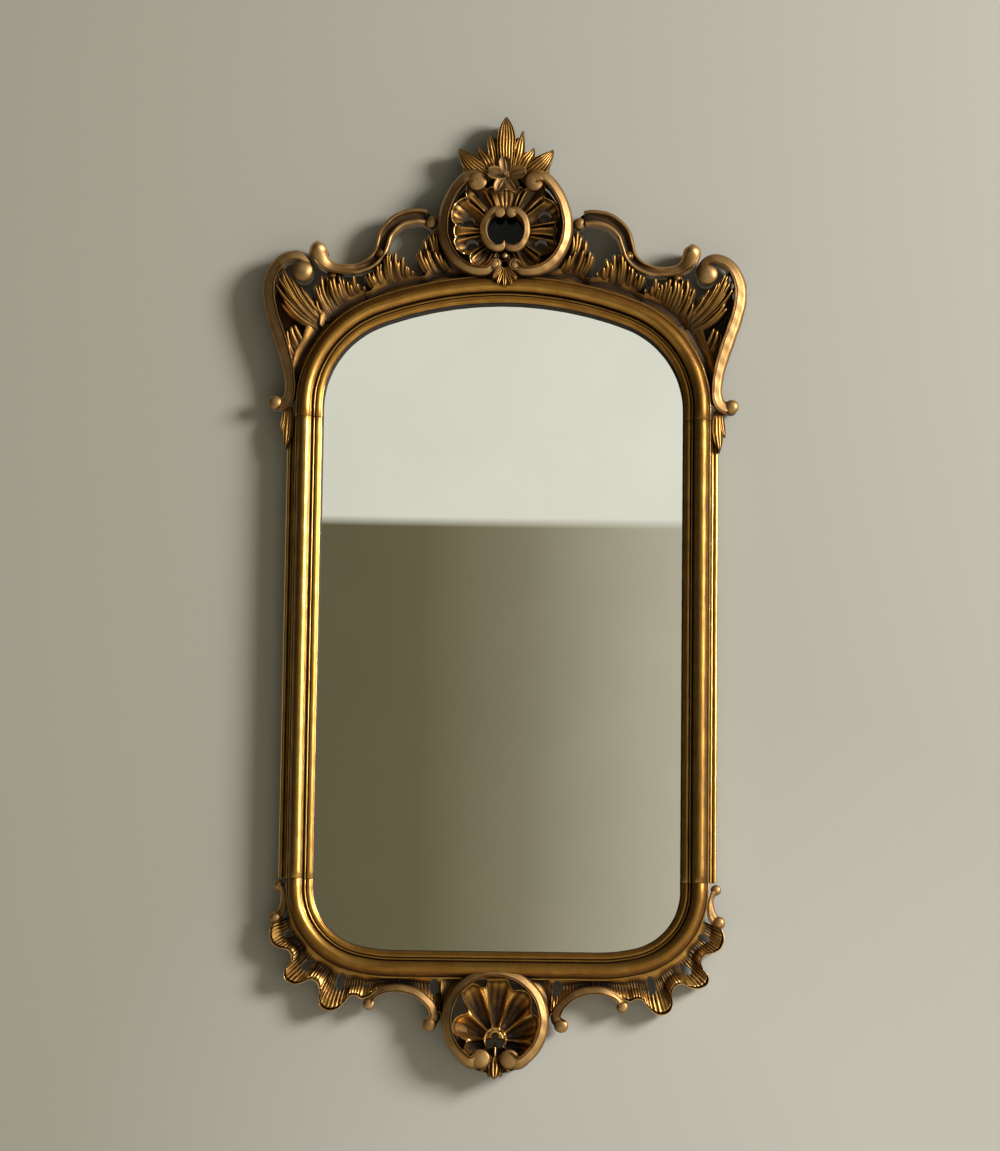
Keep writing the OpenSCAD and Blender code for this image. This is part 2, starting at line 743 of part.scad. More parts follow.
// edge of the shell on one side: angle above the level, radius
shell_edge = [[-90, 55], [-75, 59], [-62, 66], [-52, 70], [-40, 72], [-29, 76], [-22, 82], [-14, 84], [-5, 82.5],
  [1.5, 80], [7, 86.5], [14, 91], [22, 92], [30, 90], [36, 85], [42, 86], [47, 89], [53, 86], [60, 80], [68, 76],
  [76, 80], [84, 74], [90, 70]];
function shell_out(a) = let(k = abs(a - 90) > 180 ? 360 - abs(a - 90) : abs(a - 90)) lookup(90 - k, shell_edge);
function shell_top(a, f) = lerp(26, 36, f * f) + 2.6 * cos(12 * a + 40) * f + (f > 0.9 ? 2.5 : 0);
module shell_disc() {
  n = 48;
  m = 2;
  top = [for(i = [0:n - 1]) for(j = [0:m]) let(a = i * 360 / n, f = j / m, r = lerp(shell_in, shell_out(a), f))
    [r * cos(a), r * sin(a), shell_top(a, f)]];
  low = [for(i = [0:n - 1]) for(j = [0, m]) let(a = i * 360 / n, r = lerp(shell_in, shell_out(a), j / m))
    [r * cos(a), r * sin(a), board_t]];
  w = m + 1;
  b = n * w;
  faces = concat(
    [for(i = [0:n - 1]) for(j = [0:m - 1]) let(k = (i + 1) % n) [i * w + j, k * w + j, k * w + j + 1]],
    [for(i = [0:n - 1]) for(j = [0:m - 1]) let(k = (i + 1) % n) [i * w + j, k * w + j + 1, i * w + j + 1]],
    [for(i = [0:n - 1]) let(k = (i + 1) % n) [b + 2 * i, b + 2 * k + 1, b + 2 * k]],
    [for(i = [0:n - 1]) let(k = (i + 1) % n) [b + 2 * i, b + 2 * i + 1, b + 2 * k + 1]],
    [for(i = [0:n - 1]) let(k = (i + 1) % n) [i * w + m, k * w + m, b + 2 * k + 1]],
    [for(i = [0:n - 1]) let(k = (i + 1) % n) [i * w + m, b + 2 * k + 1, b + 2 * i + 1]],
    [for(i = [0:n - 1]) let(k = (i + 1) % n) [i * w, b + 2 * k, k * w]],
    [for(i = [0:n - 1]) let(k = (i + 1) % n) [i * w, b + 2 * i, b + 2 * k]]);
  polyhedron(concat(top, low), faces, convexity = 10);
}
module cartouche_shell() {
  color("#b8924c")
  front()
  carved()
  difference() {
    translate([cart_c.x, cart_c.y, 0])
    shell_disc();
    translate([0, 0, -20])
    linear_extrude(160)
    crest_holes();
    cart_block(seat);
    flower_block(seat);
    translate([cart_c.x, cart_c.y + pearl_y, 0])
    cylinder(h = 100, r = (pearl_r + seat) / cos(15), $fn = 12);
  }
}
pearl_y = -46.5;
pearl_r = 5;
bezel_h = board_t + 26;
module bezel_plan() {
  difference() {
    union() {
      scale([1, 0.93])
      circle(41.5, $fn = 96);
      for(m = [-1, 1])
        translate([m * 9, 30])
        circle(9.5, $fn = 40);
    }
    for(m = [-1, 1])
      translate([m * 9.5, 0])
      scale([1, 1])
      circle(24, $fn = 64);
  }
}
module cartouche_bezel() {
  color("#b58b49")
  front()
  translate([cart_c.x, cart_c.y, 0])
  difference() {
    union() {
      translate([0, 0, bezel_h])
      linear_extrude(6)
      bezel_plan();
      translate([0, 0, board_t])
      linear_extrude(bezel_h - board_t)
      intersection() {
        bezel_plan();
        circle(shell_in - 1.6, $fn = 96);
        square([36, 100], center = true);
      }
      for(m = [-1, 1])
        translate([m * 9, 27, bezel_h + 5])
        sphere(8.2, $fn = 40);
      translate([0, pearl_y, board_t])
      cylinder(h = bezel_h + 4 - board_t, r = pearl_r, $fn = 32);
      translate([0, pearl_y, bezel_h + 4])
      sphere(pearl_r, $fn = 32);
      translate([-2, pearl_y, bezel_h])
      cube([4, 12, 4]);
    }
    difference() {
      translate([0, 0, bezel_h + 3])
      cylinder(h = 6, r = 60, $fn = 96);
      translate([0, 0, bezel_h + 2.9])
      cylinder(h = 7, r1 = 40, r2 = 34, $fn = 96);
      translate([0, 27, bezel_h])
      cylinder(h = 30, r = 19, $fn = 48);
    }
  }
}
module cartouche_plate() {
  color("#1c2226")
  front()
  translate([cart_c.x, cart_c.y, board_t])
  linear_extrude(3)
  intersection() {
    circle(shell_in - 2, $fn = 96);
    for(m = [-1, 1])
      translate([m * 9.5, 0])
      circle(23.6, $fn = 64);
  }
}
module cartouche_drop() {
  color("#b8914e")
  front()
  carved()
  difference() {
    union() {
      for(q = [[[2, 1136], [0, 1094], 0, 7, 58], [[-3, 1132], [-18, 1104], 0.2, 7, 55],
        [[3, 1132], [17, 1104], -0.2, 7, 55]])
        band(lobe_line(carry(q[0]), carry(q[1]), q[2], q[3], 50, q[4], 4), sec_leaf, 20);
    }
    head_plug();
    translate([0, 0, -20])
    linear_extrude(20 + board_t)
    square(big * 2, center = true);
    cart_block(seat);
  }
}
module flower_block(more) {
  translate([0, 0, -20])
  linear_extrude(160)
  translate(carry([1, 1289]))
  circle(13 + more, $fn = 24);
}
module finial_lobes(L) {
  for(q = L)
    band(lobe_line(carry(q[0]), carry(q[1]), q[2], q[3], 26, q[4], 5), sec_leaf, board_t);
}
module finial_leaf() {
  color("#c29a52")
  front()
  carved()
  difference() {
    finial_lobes([[[0, 1292], [0, 1396], 0, 17, 44], [[-8, 1300], [-28, 1371], -0.06, 9.5, 38],
      [[8, 1300], [27, 1376], 0.06, 9.5, 38]]);
    flower_block(seat);
    cart_block(seat);
  }
}
module finial_side(s) {
  color("#bd954e")
  front()
  carved()
  difference() {
    side(s)
    finial_lobes([[[14, 1290], [77, 1343], 0.06, 12, 42], [[14, 1294], [46, 1346], 0.04, 10.5, 40],
      [[22, 1288], [68, 1311], 0.1, 7, 34]]);
    flower_block(seat);
    cart_block(seat);
    translate([0, 0, -20])
    linear_extrude(160)
    for(q = [[[0, 1292], [0, 1396], 0, 17], [[-8, 1300], [-28, 1371], -0.06, 9.5],
      [[8, 1300], [27, 1376], 0.06, 9.5]])
      band_plan(lobe_line(carry(q[0]), carry(q[1]), q[2], q[3], 20, 20, 5), seat);
  }
}
module petal(a, l, w) {
  c = carry([1, 1289]);
  d = [cos(a), sin(a)];
  band(lobe_line([c.x, c.y], [c.x, c.y] + d * l, 0, w, 56, 62, 4), sec_leaf, 52.5);
}
module flower() {
  color("#c79f58")
  front()
  carved()
  union() {
    translate([carry([1, 1289]).x, carry([1, 1289]).y, board_t])
    cylinder(h = 40, r = 13, $fn = 24);
    for(q = [[96, 34, 9.5], [10, 34, 10], [174, 34, 9.5], [-62, 37, 9.5], [-116, 37, 10]])
      petal(q[0], q[1], q[2]);
  }
}
module flower_button() {
  c = carry([1, 1289]);
  color("#d0aa62")
  front()
  difference() {
    translate([c.x, c.y, 60])
    sphere(button_r, $fn = 48);
    translate([c.x - 20, c.y - 20, 0])
    cube([40, 40, 57.5]);
  }
}
module s_plan(more) {
  band_plan(s_points(), more);
  for(q = s_knobs)
    knob_plan(carry(q), q[2], more);
}
module shoulder_plan(more) {
  band_plan(shoulder_points(), more);
  for(q = shoulder_knobs)
    knob_plan(carry(q), q[2], more);
}
module s_scroll(s) {
  color("#a57f43")
  front()
  side(s) {
    carved()
    difference() {
      band(s_points(), sec_channel, board_t);
      cart_block(seat);
      translate([0, 0, -20])
      linear_extrude(160)
      shoulder_plan(seat);
    }
    knob(carry(s_knobs[0]), 15.5, board_t, 32);
    knob(carry(s_knobs[1]), 10.5, board_t, 27);
  }
}
module shoulder_scroll(s) {
  color("#ae8748")
  front()
  side(s) {
    carved()
    band(shoulder_points(), sec_round, board_t);
    for(q = shoulder_knobs)
      knob(carry(q), q[2], board_t, q[2] + 16);
  }
}
// low root that the lobes of a group grow from, along the arch from x0 to x1
module leaf_root(x0, x1) {
  n = 6;
  a = carry_x(x0, 113, 300);
  b = carry_x(x1, 113, 300);
  band([for(i = [0:n]) let(x = lerp(a, b, i / n)) [x, arch_now(x) + 3, 5, 25]], sec_leaf, board_t);
}
module leaf_piece(L, s) {
  color("#bb944c")
  front()
  carved()
  side(s)
  difference() {
    union() {
      leaf_group(L);
      leaf_root(L[0][0] + 1, L[len(L) - 1][0] + 6);
    }
    frame_plug(mould_w + seat);
    cart_block(seat);
    translate([0, 0, -20])
    linear_extrude(160) {
      s_plan(seat);
      shoulder_plan(seat);
    }
  }
}
module shoulder_spray(s) {
  color("#bb944c")
  front()
  carved()
  side(s)
  difference() {
    for(q = concat(spray_leaves, spray_root))
      lobe(carry(q[0]), carry(q[1]), q[2], q[3], board_t + 12, q[4]);
    frame_plug(mould_w + seat);
    translate([0, 0, -20])
    linear_extrude(160) {
      shoulder_plan(seat);
      s_plan(seat);
      leaf_plan(outer_leaves, -seat, 1);
    }
  }
}
module shoulder_drop(s) {
  color("#b48c49")
  front()
  carved()
  side(s)
  difference() {
    for(q = [[[356, 896], [360, 826], 0.04, 9, 34], [[352, 892], [349, 842], -0.1, 6, 31],
      [[362, 892], [369, 852], 0.12, 6, 31]])
      band(lobe_line(carry(q[0]), carry(q[1]), q[2], q[3], 30, q[4], 4), sec_leaf, 18);
    frame_plug(mould_w + seat);
    translate([0, 0, -20])
    linear_extrude(160)
    shoulder_plan(seat);
    strip_plug();
  }
}
// the outer strip with its bed of glue
module strip_plug() {
  leg_run(joint_top + 4, joint_top - joint_low)
  translate([mould_w - 1, -10])
  square([strip_w + 1 + seat, 32.7 + seat]);
}

// ---- apron ----
module apron_plan() {
  translate(ring_c)
  circle(ring_r + ring_hw - 2, $fn = 96);
}
shell_c = [ring_c.x, ring_c.y - 30];
// slot in the shell for the stem of the pendant
slot_w = 8;
// lobes of the apron shell: angle of each parting, then its edge as angle and radius
apron_parts = [[-42, 0], [-4, 1], [36, 2], [71, 3], [103, 4], [135, 5], [180, 6], [222, 7]];
apron_edge = [[-42, 50], [-30, 52], [-14, 60], [-4, 64], [8, 70], [20, 79], [28, 78], [36, 74.5], [42, 78],
  [49, 89], [56, 92], [62, 90], [67, 86.5], [71, 85.5], [76, 92], [81, 102], [87, 110], [94, 110], [98, 98],
  [100, 88], [105, 86], [110, 94], [117, 100], [124, 95], [129, 84], [132, 67], [137, 62], [145, 67], [153, 72],
  [163, 73], [172, 68], [178, 56], [184, 46], [192, 50], [204, 56], [214, 54], [222, 50]];
function apron_reach(a) = let(p = ring_r - ring_hw + 0.5, b = 30 * sin(a)) min(b + sqrt(b * b - 900 + p * p),
  (mould_w - ref_mould + ring_drop - 16.5) / max(0.1, sin(a)));
function apron_rim(a) = min(apron_reach(a), lookup(a, apron_edge));
function apron_top(a, f) = let(u = lookup(a, apron_parts)) lerp(22, 39, f * f)
  - 6 * sin(180 * f) * abs(sin(180 * u)) + 2.6 * f * (0.5 - abs(sin(180 * u))) + (f > 0.95 ? 2 : 0);
module apron_gaps() {
  difference() {
    translate(ring_c)
    circle(ring_r - ring_hw - 1.5, $fn = 96);
    translate(shell_c)
    polygon([for(a = [-42:3:222]) (apron_rim(a) + 1) * [cos(a), sin(a)]]);
    translate([-60, ring_c.y - 95])
    square([120, 72]);
  }
}
module apron_keyhole() {
  translate([shell_c.x, shell_c.y - 4]) {
    translate([0, 6])
    circle(6.5, $fn = 24);
    for(m = [-1, 1])
      translate([m * 8.5, -3])
      circle(7, $fn = 24);
  }
}
module apron_board() {
  color("#8f6f3c")
  front()
  difference() {
    linear_extrude(board_t)
    offset(delta = 0)
    difference() {
      union() {
        apron_plan();
        translate([-60, ring_c.y + 20])
        square([120, 60]);
      }
      outline(mould_w + seat, 3);
      apron_gaps();
      apron_keyhole();
      translate([-13, ring_c.y - 100])
      square([26, 34]);
    }
    batten_bores();
  }
}
module ring_plan(more) {
  translate(ring_c)
  circle((ring_r + ring_hw + more) / cos(3.75), $fn = 48);
}
module apron_ring() {
  color("#a88348")
  front() {
    carved()
    difference() {
      union() {
        translate([ring_c.x, ring_c.y, 0])
        rotate([0, 0, -48])
        rotate_extrude(angle = 276, $fn = 52)
        translate([ring_r, 0])
        polygon(ring_section());
        both()
        band([for(p = smooth(ring_tail, 2)) [p.x, ring_c.y + p.y, p[2], p[3]]], sec_round, board_t);
      }
      translate([-200, 0, 0])
      rotate([90, 0, 90])
      linear_extrude(400)
      mirror([1, 0])
      plug_section();
    }
    both()
    knob([ring_knob.x, ring_c.y + ring_knob.y], 12, board_t, 38);
  }
}
module ring_block(more) {
  translate([0, 0, -20])
  linear_extrude(160)
  both() {
    band_plan(ring_all(), more);
    band_plan([for(p = smooth(ring_tail, 2)) [p.x, ring_c.y + p.y, p[2], 0]], more);
    knob_plan([ring_knob.x, ring_c.y + ring_knob.y], 12, more);
  }
}
module apron_fan() {
  a0 = -42;
  n = 44;
  m = 2;
  r0 = 17;
  w = m + 1;
  top = [for(i = [0:n]) for(j = [0:m]) let(a = a0 + i * 264 / n, f = j / m, r = lerp(r0, apron_rim(a), f))
    [r * cos(a), r * sin(a), apron_top(a, f)]];
  low = [for(i = [0:n]) let(a = a0 + i * 264 / n) for(r = [r0, apron_rim(a)]) [r * cos(a), r * sin(a), board_t]];
  b = (n + 1) * w;
  faces = concat(
    [for(i = [0:n - 1]) for(j = [0:m - 1]) [i * w + j, (i + 1) * w + j, (i + 1) * w + j + 1]],
    [for(i = [0:n - 1]) for(j = [0:m - 1]) [i * w + j, (i + 1) * w + j + 1, i * w + j + 1]],
    [for(i = [0:n - 1]) [b + 2 * i, b + 2 * i + 3, b + 2 * i + 2]],
    [for(i = [0:n - 1]) [b + 2 * i, b + 2 * i + 1, b + 2 * i + 3]],
    [for(i = [0:n - 1]) [i * w + m, (i + 1) * w + m, b + 2 * i + 3]],
    [for(i = [0:n - 1]) [i * w + m, b + 2 * i + 3, b + 2 * i + 1]],
    [for(i = [0:n - 1]) [i * w, b + 2 * i + 2, (i + 1) * w]],
    [for(i = [0:n - 1]) [i * w, b + 2 * i, b + 2 * i + 2]],
    [for(j = [0:m - 1]) [j, j + 1, b + 1]],
    [[0, b + 1, b]],
    [for(j = [0:m - 1]) [n * w + j, b + 2 * n, n * w + j + 1]],
    [[n * w + m, b + 2 * n, b + 2 * n + 1]]);
  polyhedron(concat(top, low), faces, convexity = 10);
}
module apron_shell() {
  color("#b8924c")
  front()
  carved()
  difference() {
    translate([shell_c.x, shell_c.y, 0])
    apron_fan();
    translate([0, 0, -20])
    linear_extrude(160)
    apron_keyhole();
    ring_block(seat);
    frame_plug(mould_w + seat);
    translate([-slot_w / 2, ring_c.y - 100, -10])
    cube([slot_w, 60, 100]);
  }
}
module apron_pendant() {
  c = ring_c.y;
  color("#c29a52")
  front()
  carved()
  difference() {
    union() {
      for(q = [[[0, c - 60], [0, c - 95], 0, 7, 46], [[-3, c - 63], [-16, c - 80], 0.25, 5.5, 40],
        [[3, c - 63], [22, c - 80], -0.25, 5.5, 40], [[0, c - 74], [-7, c - 91], 0.2, 4.5, 36],
        [[0, c - 74], [8, c - 90], -0.2, 4.5, 36]])
        band(lobe_line(q[0], q[1], q[2], q[3], 36, q[4], 4), sec_leaf, board_t);
      band([[0, c - 43, slot_w / 2 - seat, 34], [0, c - 68, slot_w / 2 - seat, 38]], sec_leaf, board_t);
    }
    ring_block(seat);
  }
}

// nearest place on the frame outline, s outside the glass
function toe_foot(p, s) = p.x < ease_x ? [p.x, -s]
  : p.y > toe_z && p.x > toe_x ? [half + s, p.y]
  : let(d = unit(p - [toe_x, toe_z]), a = atan2(d.y, d.x))
    a > toe_a ? [toe_x, toe_z] + d * (toe_r + s)
    : [ease_x, toe_ease_r] + unit(p - [ease_x, toe_ease_r]) * (toe_ease_r + s);
function fringe_points() = smooth(carried(fringe_edge), 2);
fringe_steps = [0, 0.45, 0.85, 1];
fringe_levels = [30, 19, 30, 27];
module fringe_strip() {
  E = fringe_points();
  n = len(E);
  m = len(fringe_steps);
  top = [for(i = [0:n - 1]) let(a = toe_foot(E[i], mould_w + seat)) for(j = [0:m - 1])
    let(p = lerp(a, E[i], fringe_steps[j]))
    [p.x, p.y, fringe_levels[j] + (j > 0 && j < m - 1 ? (i % 2 == 0 ? 1.7 : -1.7) : 0)]];
  low = [for(i = [0:n - 1]) let(a = toe_foot(E[i], mould_w + seat)) for(p = [a, E[i]]) [p.x, p.y, 4]];
  b = n * m;
  e = n - 1;
  faces = concat(
    [for(i = [0:n - 2]) for(j = [0:m - 2]) [i * m + j, (i + 1) * m + j, (i + 1) * m + j + 1]],
    [for(i = [0:n - 2]) for(j = [0:m - 2]) [i * m + j, (i + 1) * m + j + 1, i * m + j + 1]],
    [for(i = [0:n - 2]) [b + 2 * i, b + 2 * i + 3, b + 2 * i + 2]],
    [for(i = [0:n - 2]) [b + 2 * i, b + 2 * i + 1, b + 2 * i + 3]],
    [for(i = [0:n - 2]) [i * m + m - 1, (i + 1) * m + m - 1, b + 2 * i + 3]],
    [for(i = [0:n - 2]) [i * m + m - 1, b + 2 * i + 3, b + 2 * i + 1]],
    [for(i = [0:n - 2]) [i * m, b + 2 * i + 2, (i + 1) * m]],
    [for(i = [0:n - 2]) [i * m, b + 2 * i, b + 2 * i + 2]],
    [for(j = [0:m - 2]) [j, j + 1, b + 1]],
    [[0, b + 1, b]],
    [for(j = [0:m - 2]) [e * m + j, b + 2 * e, e * m + j + 1]],
    [[e * m + m - 1, b + 2 * e, b + 2 * e + 1]]);
  polyhedron(concat(top, low), faces, convexity = 10);
}
module apron_scroll_plan(more) {
  band_plan(apron_points(), more);
  for(q = apron_knobs)
    knob_plan(carry(q), q[2], more);
}
module side_scroll_plan(more) {
  band_plan(side_points(), more);
  for(q = side_knobs)
    knob_plan(carry(q), q[2], more);
}
module fringe(s) {
  color("#b18b47")
  front()
  carved()
  side(s)
  difference() {
    fringe_strip();
    translate([0, 0, -20])
    linear_extrude(160) {
      ring_plan(seat);
      apron_scroll_plan(seat);
      side_scroll_plan(seat);
      for(q = fringe_holes)
        translate(carry(q))
        rotate([0, 0, q[4]])
        scale([q[2] / q[3], 1])
        circle(q[3], $fn = 12);
    }
  }
}
module apron_scroll(s) {
  color("#a88145")
  front()
  side(s) {
    carved()
    difference() {
      band(apron_points(), sec_round, 4);
      translate([0, 0, -20])
      linear_extrude(160)
      ring_plan(seat);
    }
    for(q = apron_knobs)
      knob(carry(q), q[2], 6, 26);
  }
}
module side_scroll(s) {
  color("#a88145")
  front()
  side(s) {
    carved()
    difference() {
      band(side_points(), sec_round, 4);
      frame_plug(mould_w + seat);
    }
    for(q = side_knobs)
      knob(carry(q), q[2], 6, 22);
  }
}

// ---- hanging hardware and wall pads ----
pivot_t = -wire_r - pivot_play - strap_t;
module hanger_place(m) {
  translate([m * stile_mid, hang_h, 0])
  children();
}
module hanger_bores() {
  for(m = [-1, 1])
    hanger_place(m)
    for(k = [0, 1])
      translate([0, -strap_l + 10 + k * 22, -strap_t])
      wood_screw(13);
}
module hanger_strap(m) {
  loop_r = wire_r + pivot_play;
  color("#9c9a92")
  front()
  difference() {
    hanger_place(m) {
      translate([-strap_w / 2, -strap_l, -strap_t])
      cube([strap_w, strap_l, strap_t]);
      translate([-strap_w / 2, 0, pivot_t])
      rotate([0, 90, 0])
      difference() {
        cylinder(h = strap_w, r = loop_r + strap_t, $fn = 64);
        translate([0, 0, -1])
        cylinder(h = strap_w + 2, r = loop_r, $fn = 64);
      }
    }
    hanger_bores();
    hanger_place(m)
    translate([-20, -40, pivot_t - loop_r - strap_t - 1])
    cube([40, 40 - 0.001, loop_r + strap_t + 1 + loop_r]);
  }
}
module hanger_ring(m) {
  bar = strap_w / 2 + 2.5;
  color("#b5a36a")
  front()
  hanger_place(m)
  translate([0, 0, pivot_t]) {
    rotate([0, 90, 0])
    translate([0, 0, -eye_hw])
    cylinder(h = 2 * eye_hw, r = wire_r, $fn = 48);
    for(k = [-1, 1]) {
      translate([k * eye_hw, 0, 0])
      sphere(wire_r, $fn = 48);
      translate([k * eye_hw, -8, 0])
      rotate([-90, 0, 0])
      cylinder(h = 8, r = wire_r, $fn = 48);
    }
    translate([0, -8, 0])
    rotate([0, 0, 180])
    rotate_extrude(angle = 180, $fn = 96)
    translate([eye_hw, 0])
    circle(wire_r, $fn = 48);
  }
}
module hanger_screws() {
  color("#8d8a80")
  front()
  difference() {
    hanger_bores();
    for(m = [-1, 1])
      hanger_place(m)
      for(k = [0, 1])
        translate([0, -strap_l + 10 + k * 22, -strap_t])
        screw_slot();
  }
}
module wall_pads() {
  color("#3a332b")
  front()
  pad_places()
  translate([0, 0, -wall_gap])
  cylinder(h = wall_gap, r = 12, $fn = 64);
}

head_rail();
stile(-1);  // stile_left
stile(1);  // stile_right
base_rail();
outer_strip(-1);  // outer_strip_left
outer_strip(1);  // outer_strip_right
carcass_head();
carcass_stile(-1);  // carcass_stile_left
carcass_stile(1);  // carcass_stile_right
carcass_base();
lap_screws();
mirror_glass();
backing_board();
backing_brads();
crest_board();
cartouche_scroll(-1);  // cartouche_scroll_left
cartouche_scroll(1);  // cartouche_scroll_right
cartouche_shell();
cartouche_bezel();
cartouche_plate();
cartouche_drop();
finial_leaf();
finial_side(-1);  // finial_side_left
finial_side(1);  // finial_side_right
flower();
flower_button();
s_scroll(-1);  // s_scroll_left
s_scroll(1);  // s_scroll_right
shoulder_scroll(-1);  // shoulder_scroll_left
shoulder_scroll(1);  // shoulder_scroll_right
leaf_piece(inner_leaves, -1);  // leaf_inner_left
leaf_piece(inner_leaves, 1);  // leaf_inner_right
leaf_piece(middle_leaves, -1);  // leaf_middle_left
leaf_piece(middle_leaves, 1);  // leaf_middle_right
leaf_piece(outer_leaves, -1);  // leaf_outer_left
leaf_piece(outer_leaves, 1);  // leaf_outer_right
shoulder_spray(-1);  // shoulder_spray_left
shoulder_spray(1);  // shoulder_spray_right
shoulder_drop(-1);  // shoulder_drop_left
shoulder_drop(1);  // shoulder_drop_right
apron_board();
apron_ring();
apron_shell();
apron_pendant();
fringe(-1);  // fringe_left
fringe(1);  // fringe_right
apron_scroll(-1);  // apron_scroll_left
apron_scroll(1);  // apron_scroll_right
side_scroll(-1);  // side_scroll_left
side_scroll(1);  // side_scroll_right
batten_centre();
battens_side();
batten_screws();
hanger_strap(-1);  // hanger_strap_left
hanger_strap(1);  // hanger_strap_right
hanger_ring(-1);  // hanger_ring_left
hanger_ring(1);  // hanger_ring_right
hanger_screws();
wall_pads();
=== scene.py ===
import math

import bpy
import numpy as np
from mathutils import Matrix, Vector


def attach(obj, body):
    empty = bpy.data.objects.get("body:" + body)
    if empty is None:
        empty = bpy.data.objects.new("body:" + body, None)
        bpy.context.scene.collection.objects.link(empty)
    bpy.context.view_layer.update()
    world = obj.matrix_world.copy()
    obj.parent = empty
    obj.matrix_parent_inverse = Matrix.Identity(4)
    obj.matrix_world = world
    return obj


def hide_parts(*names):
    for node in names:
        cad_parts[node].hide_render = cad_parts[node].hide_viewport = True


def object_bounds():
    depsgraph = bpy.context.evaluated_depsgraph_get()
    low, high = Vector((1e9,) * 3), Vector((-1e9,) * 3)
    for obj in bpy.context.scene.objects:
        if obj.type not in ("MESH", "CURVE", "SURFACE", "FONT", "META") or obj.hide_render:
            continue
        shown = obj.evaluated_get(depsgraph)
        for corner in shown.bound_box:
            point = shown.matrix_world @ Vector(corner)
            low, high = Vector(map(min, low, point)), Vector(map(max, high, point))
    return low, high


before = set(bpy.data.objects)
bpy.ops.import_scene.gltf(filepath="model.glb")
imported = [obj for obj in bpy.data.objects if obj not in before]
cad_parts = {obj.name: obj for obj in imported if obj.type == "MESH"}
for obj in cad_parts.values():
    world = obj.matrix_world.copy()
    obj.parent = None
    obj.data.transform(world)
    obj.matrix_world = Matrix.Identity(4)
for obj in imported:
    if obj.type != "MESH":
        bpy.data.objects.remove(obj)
cad_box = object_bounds()

# ---------------------------------------------------------------- sizes
# Millimetres, drawn in front view: right, up from the bottom edge of the glass, and
# height above the back of the carcass. set_up() carries a drawn point to the frame.
MM = 0.001
WALL_GAP = 10.0  # back of the carcass to the wall
HANG_H = 800.0  # ring pivots above the bottom edge of the glass
BOARD_T = 14.0  # carcass and pierced boards
MOULD_W = 45.5  # width of the moulding
HALF, SIGHT_H = 299.3, 1075.0  # half the clear width of glass, and its height
CROWN_R = 580.0  # shallow crown of the arch
SH_R = 150.0  # upper corners
TOE_R = 96.0  # lower corners
EASE_X, EASE_R = 165.0, 260.0  # easing from a lower corner to the straight base
# centres of these arcs, each of which runs into the next without a kink, and where they meet
CROWN_Z = SIGHT_H - CROWN_R
SH_X, TOE_X = HALF - SH_R, HALF - TOE_R
SH_Z = round(CROWN_Z + math.sqrt((CROWN_R - SH_R) ** 2 - SH_X**2), 3)
TOE_Z = round(EASE_R - math.sqrt((EASE_R - TOE_R) ** 2 - (TOE_X - EASE_X) ** 2), 3)
CROWN_A = math.degrees(math.atan2(SH_Z - CROWN_Z, SH_X))
TOE_A = math.degrees(math.atan2(TOE_Z - EASE_R, TOE_X - EASE_X))
JOINT_TOP, JOINT_LOW = SH_Z - 19, TOE_Z + 13.5  # where stiles meet head and base
CRACK = 0.3  # shrinkage at each side of a joint
EASED = 0.6  # length of the eased end of a moulding
RING_H = 52.0  # top of the crest cartouche and of the apron ring
CART_C = np.array([0.0, 1199.0])  # centre of the crest cartouche
FLOWER_C = np.array([1.0, 1289.0])
RING_C = np.array([0.0, -112.0])  # centre of the apron ring
SHELL_C = RING_C + [0, -30]  # where the ribs of the apron shell meet
RING_R, RING_HW = 79.2, 8.1  # middle line of the apron ring, and half its width
SHARP = 50.0  # degrees between faces that makes an arris sharp


def set_up(points):
    x, y, t = np.moveaxis(np.asarray(points, float), -1, 0)
    return np.stack([x, -(t + WALL_GAP), y - HANG_H], -1) * MM


# ---------------------------------------------------------------- drawn lines
def spline(points, per):
    """Smooth curve through drawn points; every column is blended."""
    p = np.array(points, float)
    q = np.vstack([p[:1], p, p[-1:]])
    t = (np.arange(per) / per)[:, None]
    runs = [
        0.5 * (2 * b + (c - a) * t + (2 * a - 5 * b + 4 * c - d) * t * t + (3 * b - a - 3 * c + d) * t**3)
        for a, b, c, d in zip(q, q[1:], q[2:], q[3:])
    ]
    return np.vstack(runs + [p[-1:]])


def lefts(p):
    """Unit steps to the left of a line at each of its points."""
    ahead = np.vstack([p[1:, :2], p[-1:, :2]]) - np.vstack([p[:1, :2], p[:-1, :2]])
    ahead /= np.maximum(1e-9, np.linalg.norm(ahead, axis=1))[:, None]
    return np.stack([-ahead[:, 1], ahead[:, 0]], 1)


def lengths(p):
    """Distance along a line at each of its points."""
    return np.r_[0, np.cumsum(np.linalg.norm(np.diff(p, axis=0), axis=1))]


def soften(line, count, radius, tall=1.0):
    """A drawn section resampled evenly, with its arrises rounded as gesso rounds them."""
    p = np.array(line, float) * [1, tall]
    d = lengths(p)
    fine = np.linspace(0, d[-1], count * 6)
    q = np.stack([np.interp(fine, d, p[:, k]) for k in (0, 1)], 1)
    reach = max(1, int(3 * radius / fine[1]))
    bell = np.exp(-0.5 * (np.arange(-reach, reach + 1) * fine[1] / radius) ** 2)
    bell /= bell.sum()
    ends = np.vstack([2 * q[0] - q[reach:0:-1], q, 2 * q[-1] - q[-2 : -reach - 2 : -1]])
    q = np.stack([np.convolve(ends[:, k], bell, "valid") for k in (0, 1)], 1)
    return q[np.round(np.linspace(0, len(q) - 1, count)).astype(int)] / [1, tall]


def arc(c, r, a0, a1, n):
    a = np.radians(np.linspace(a0, a1, n + 1))
    return np.stack([c[0] + r * np.cos(a), c[1] + r * np.sin(a)], 1)


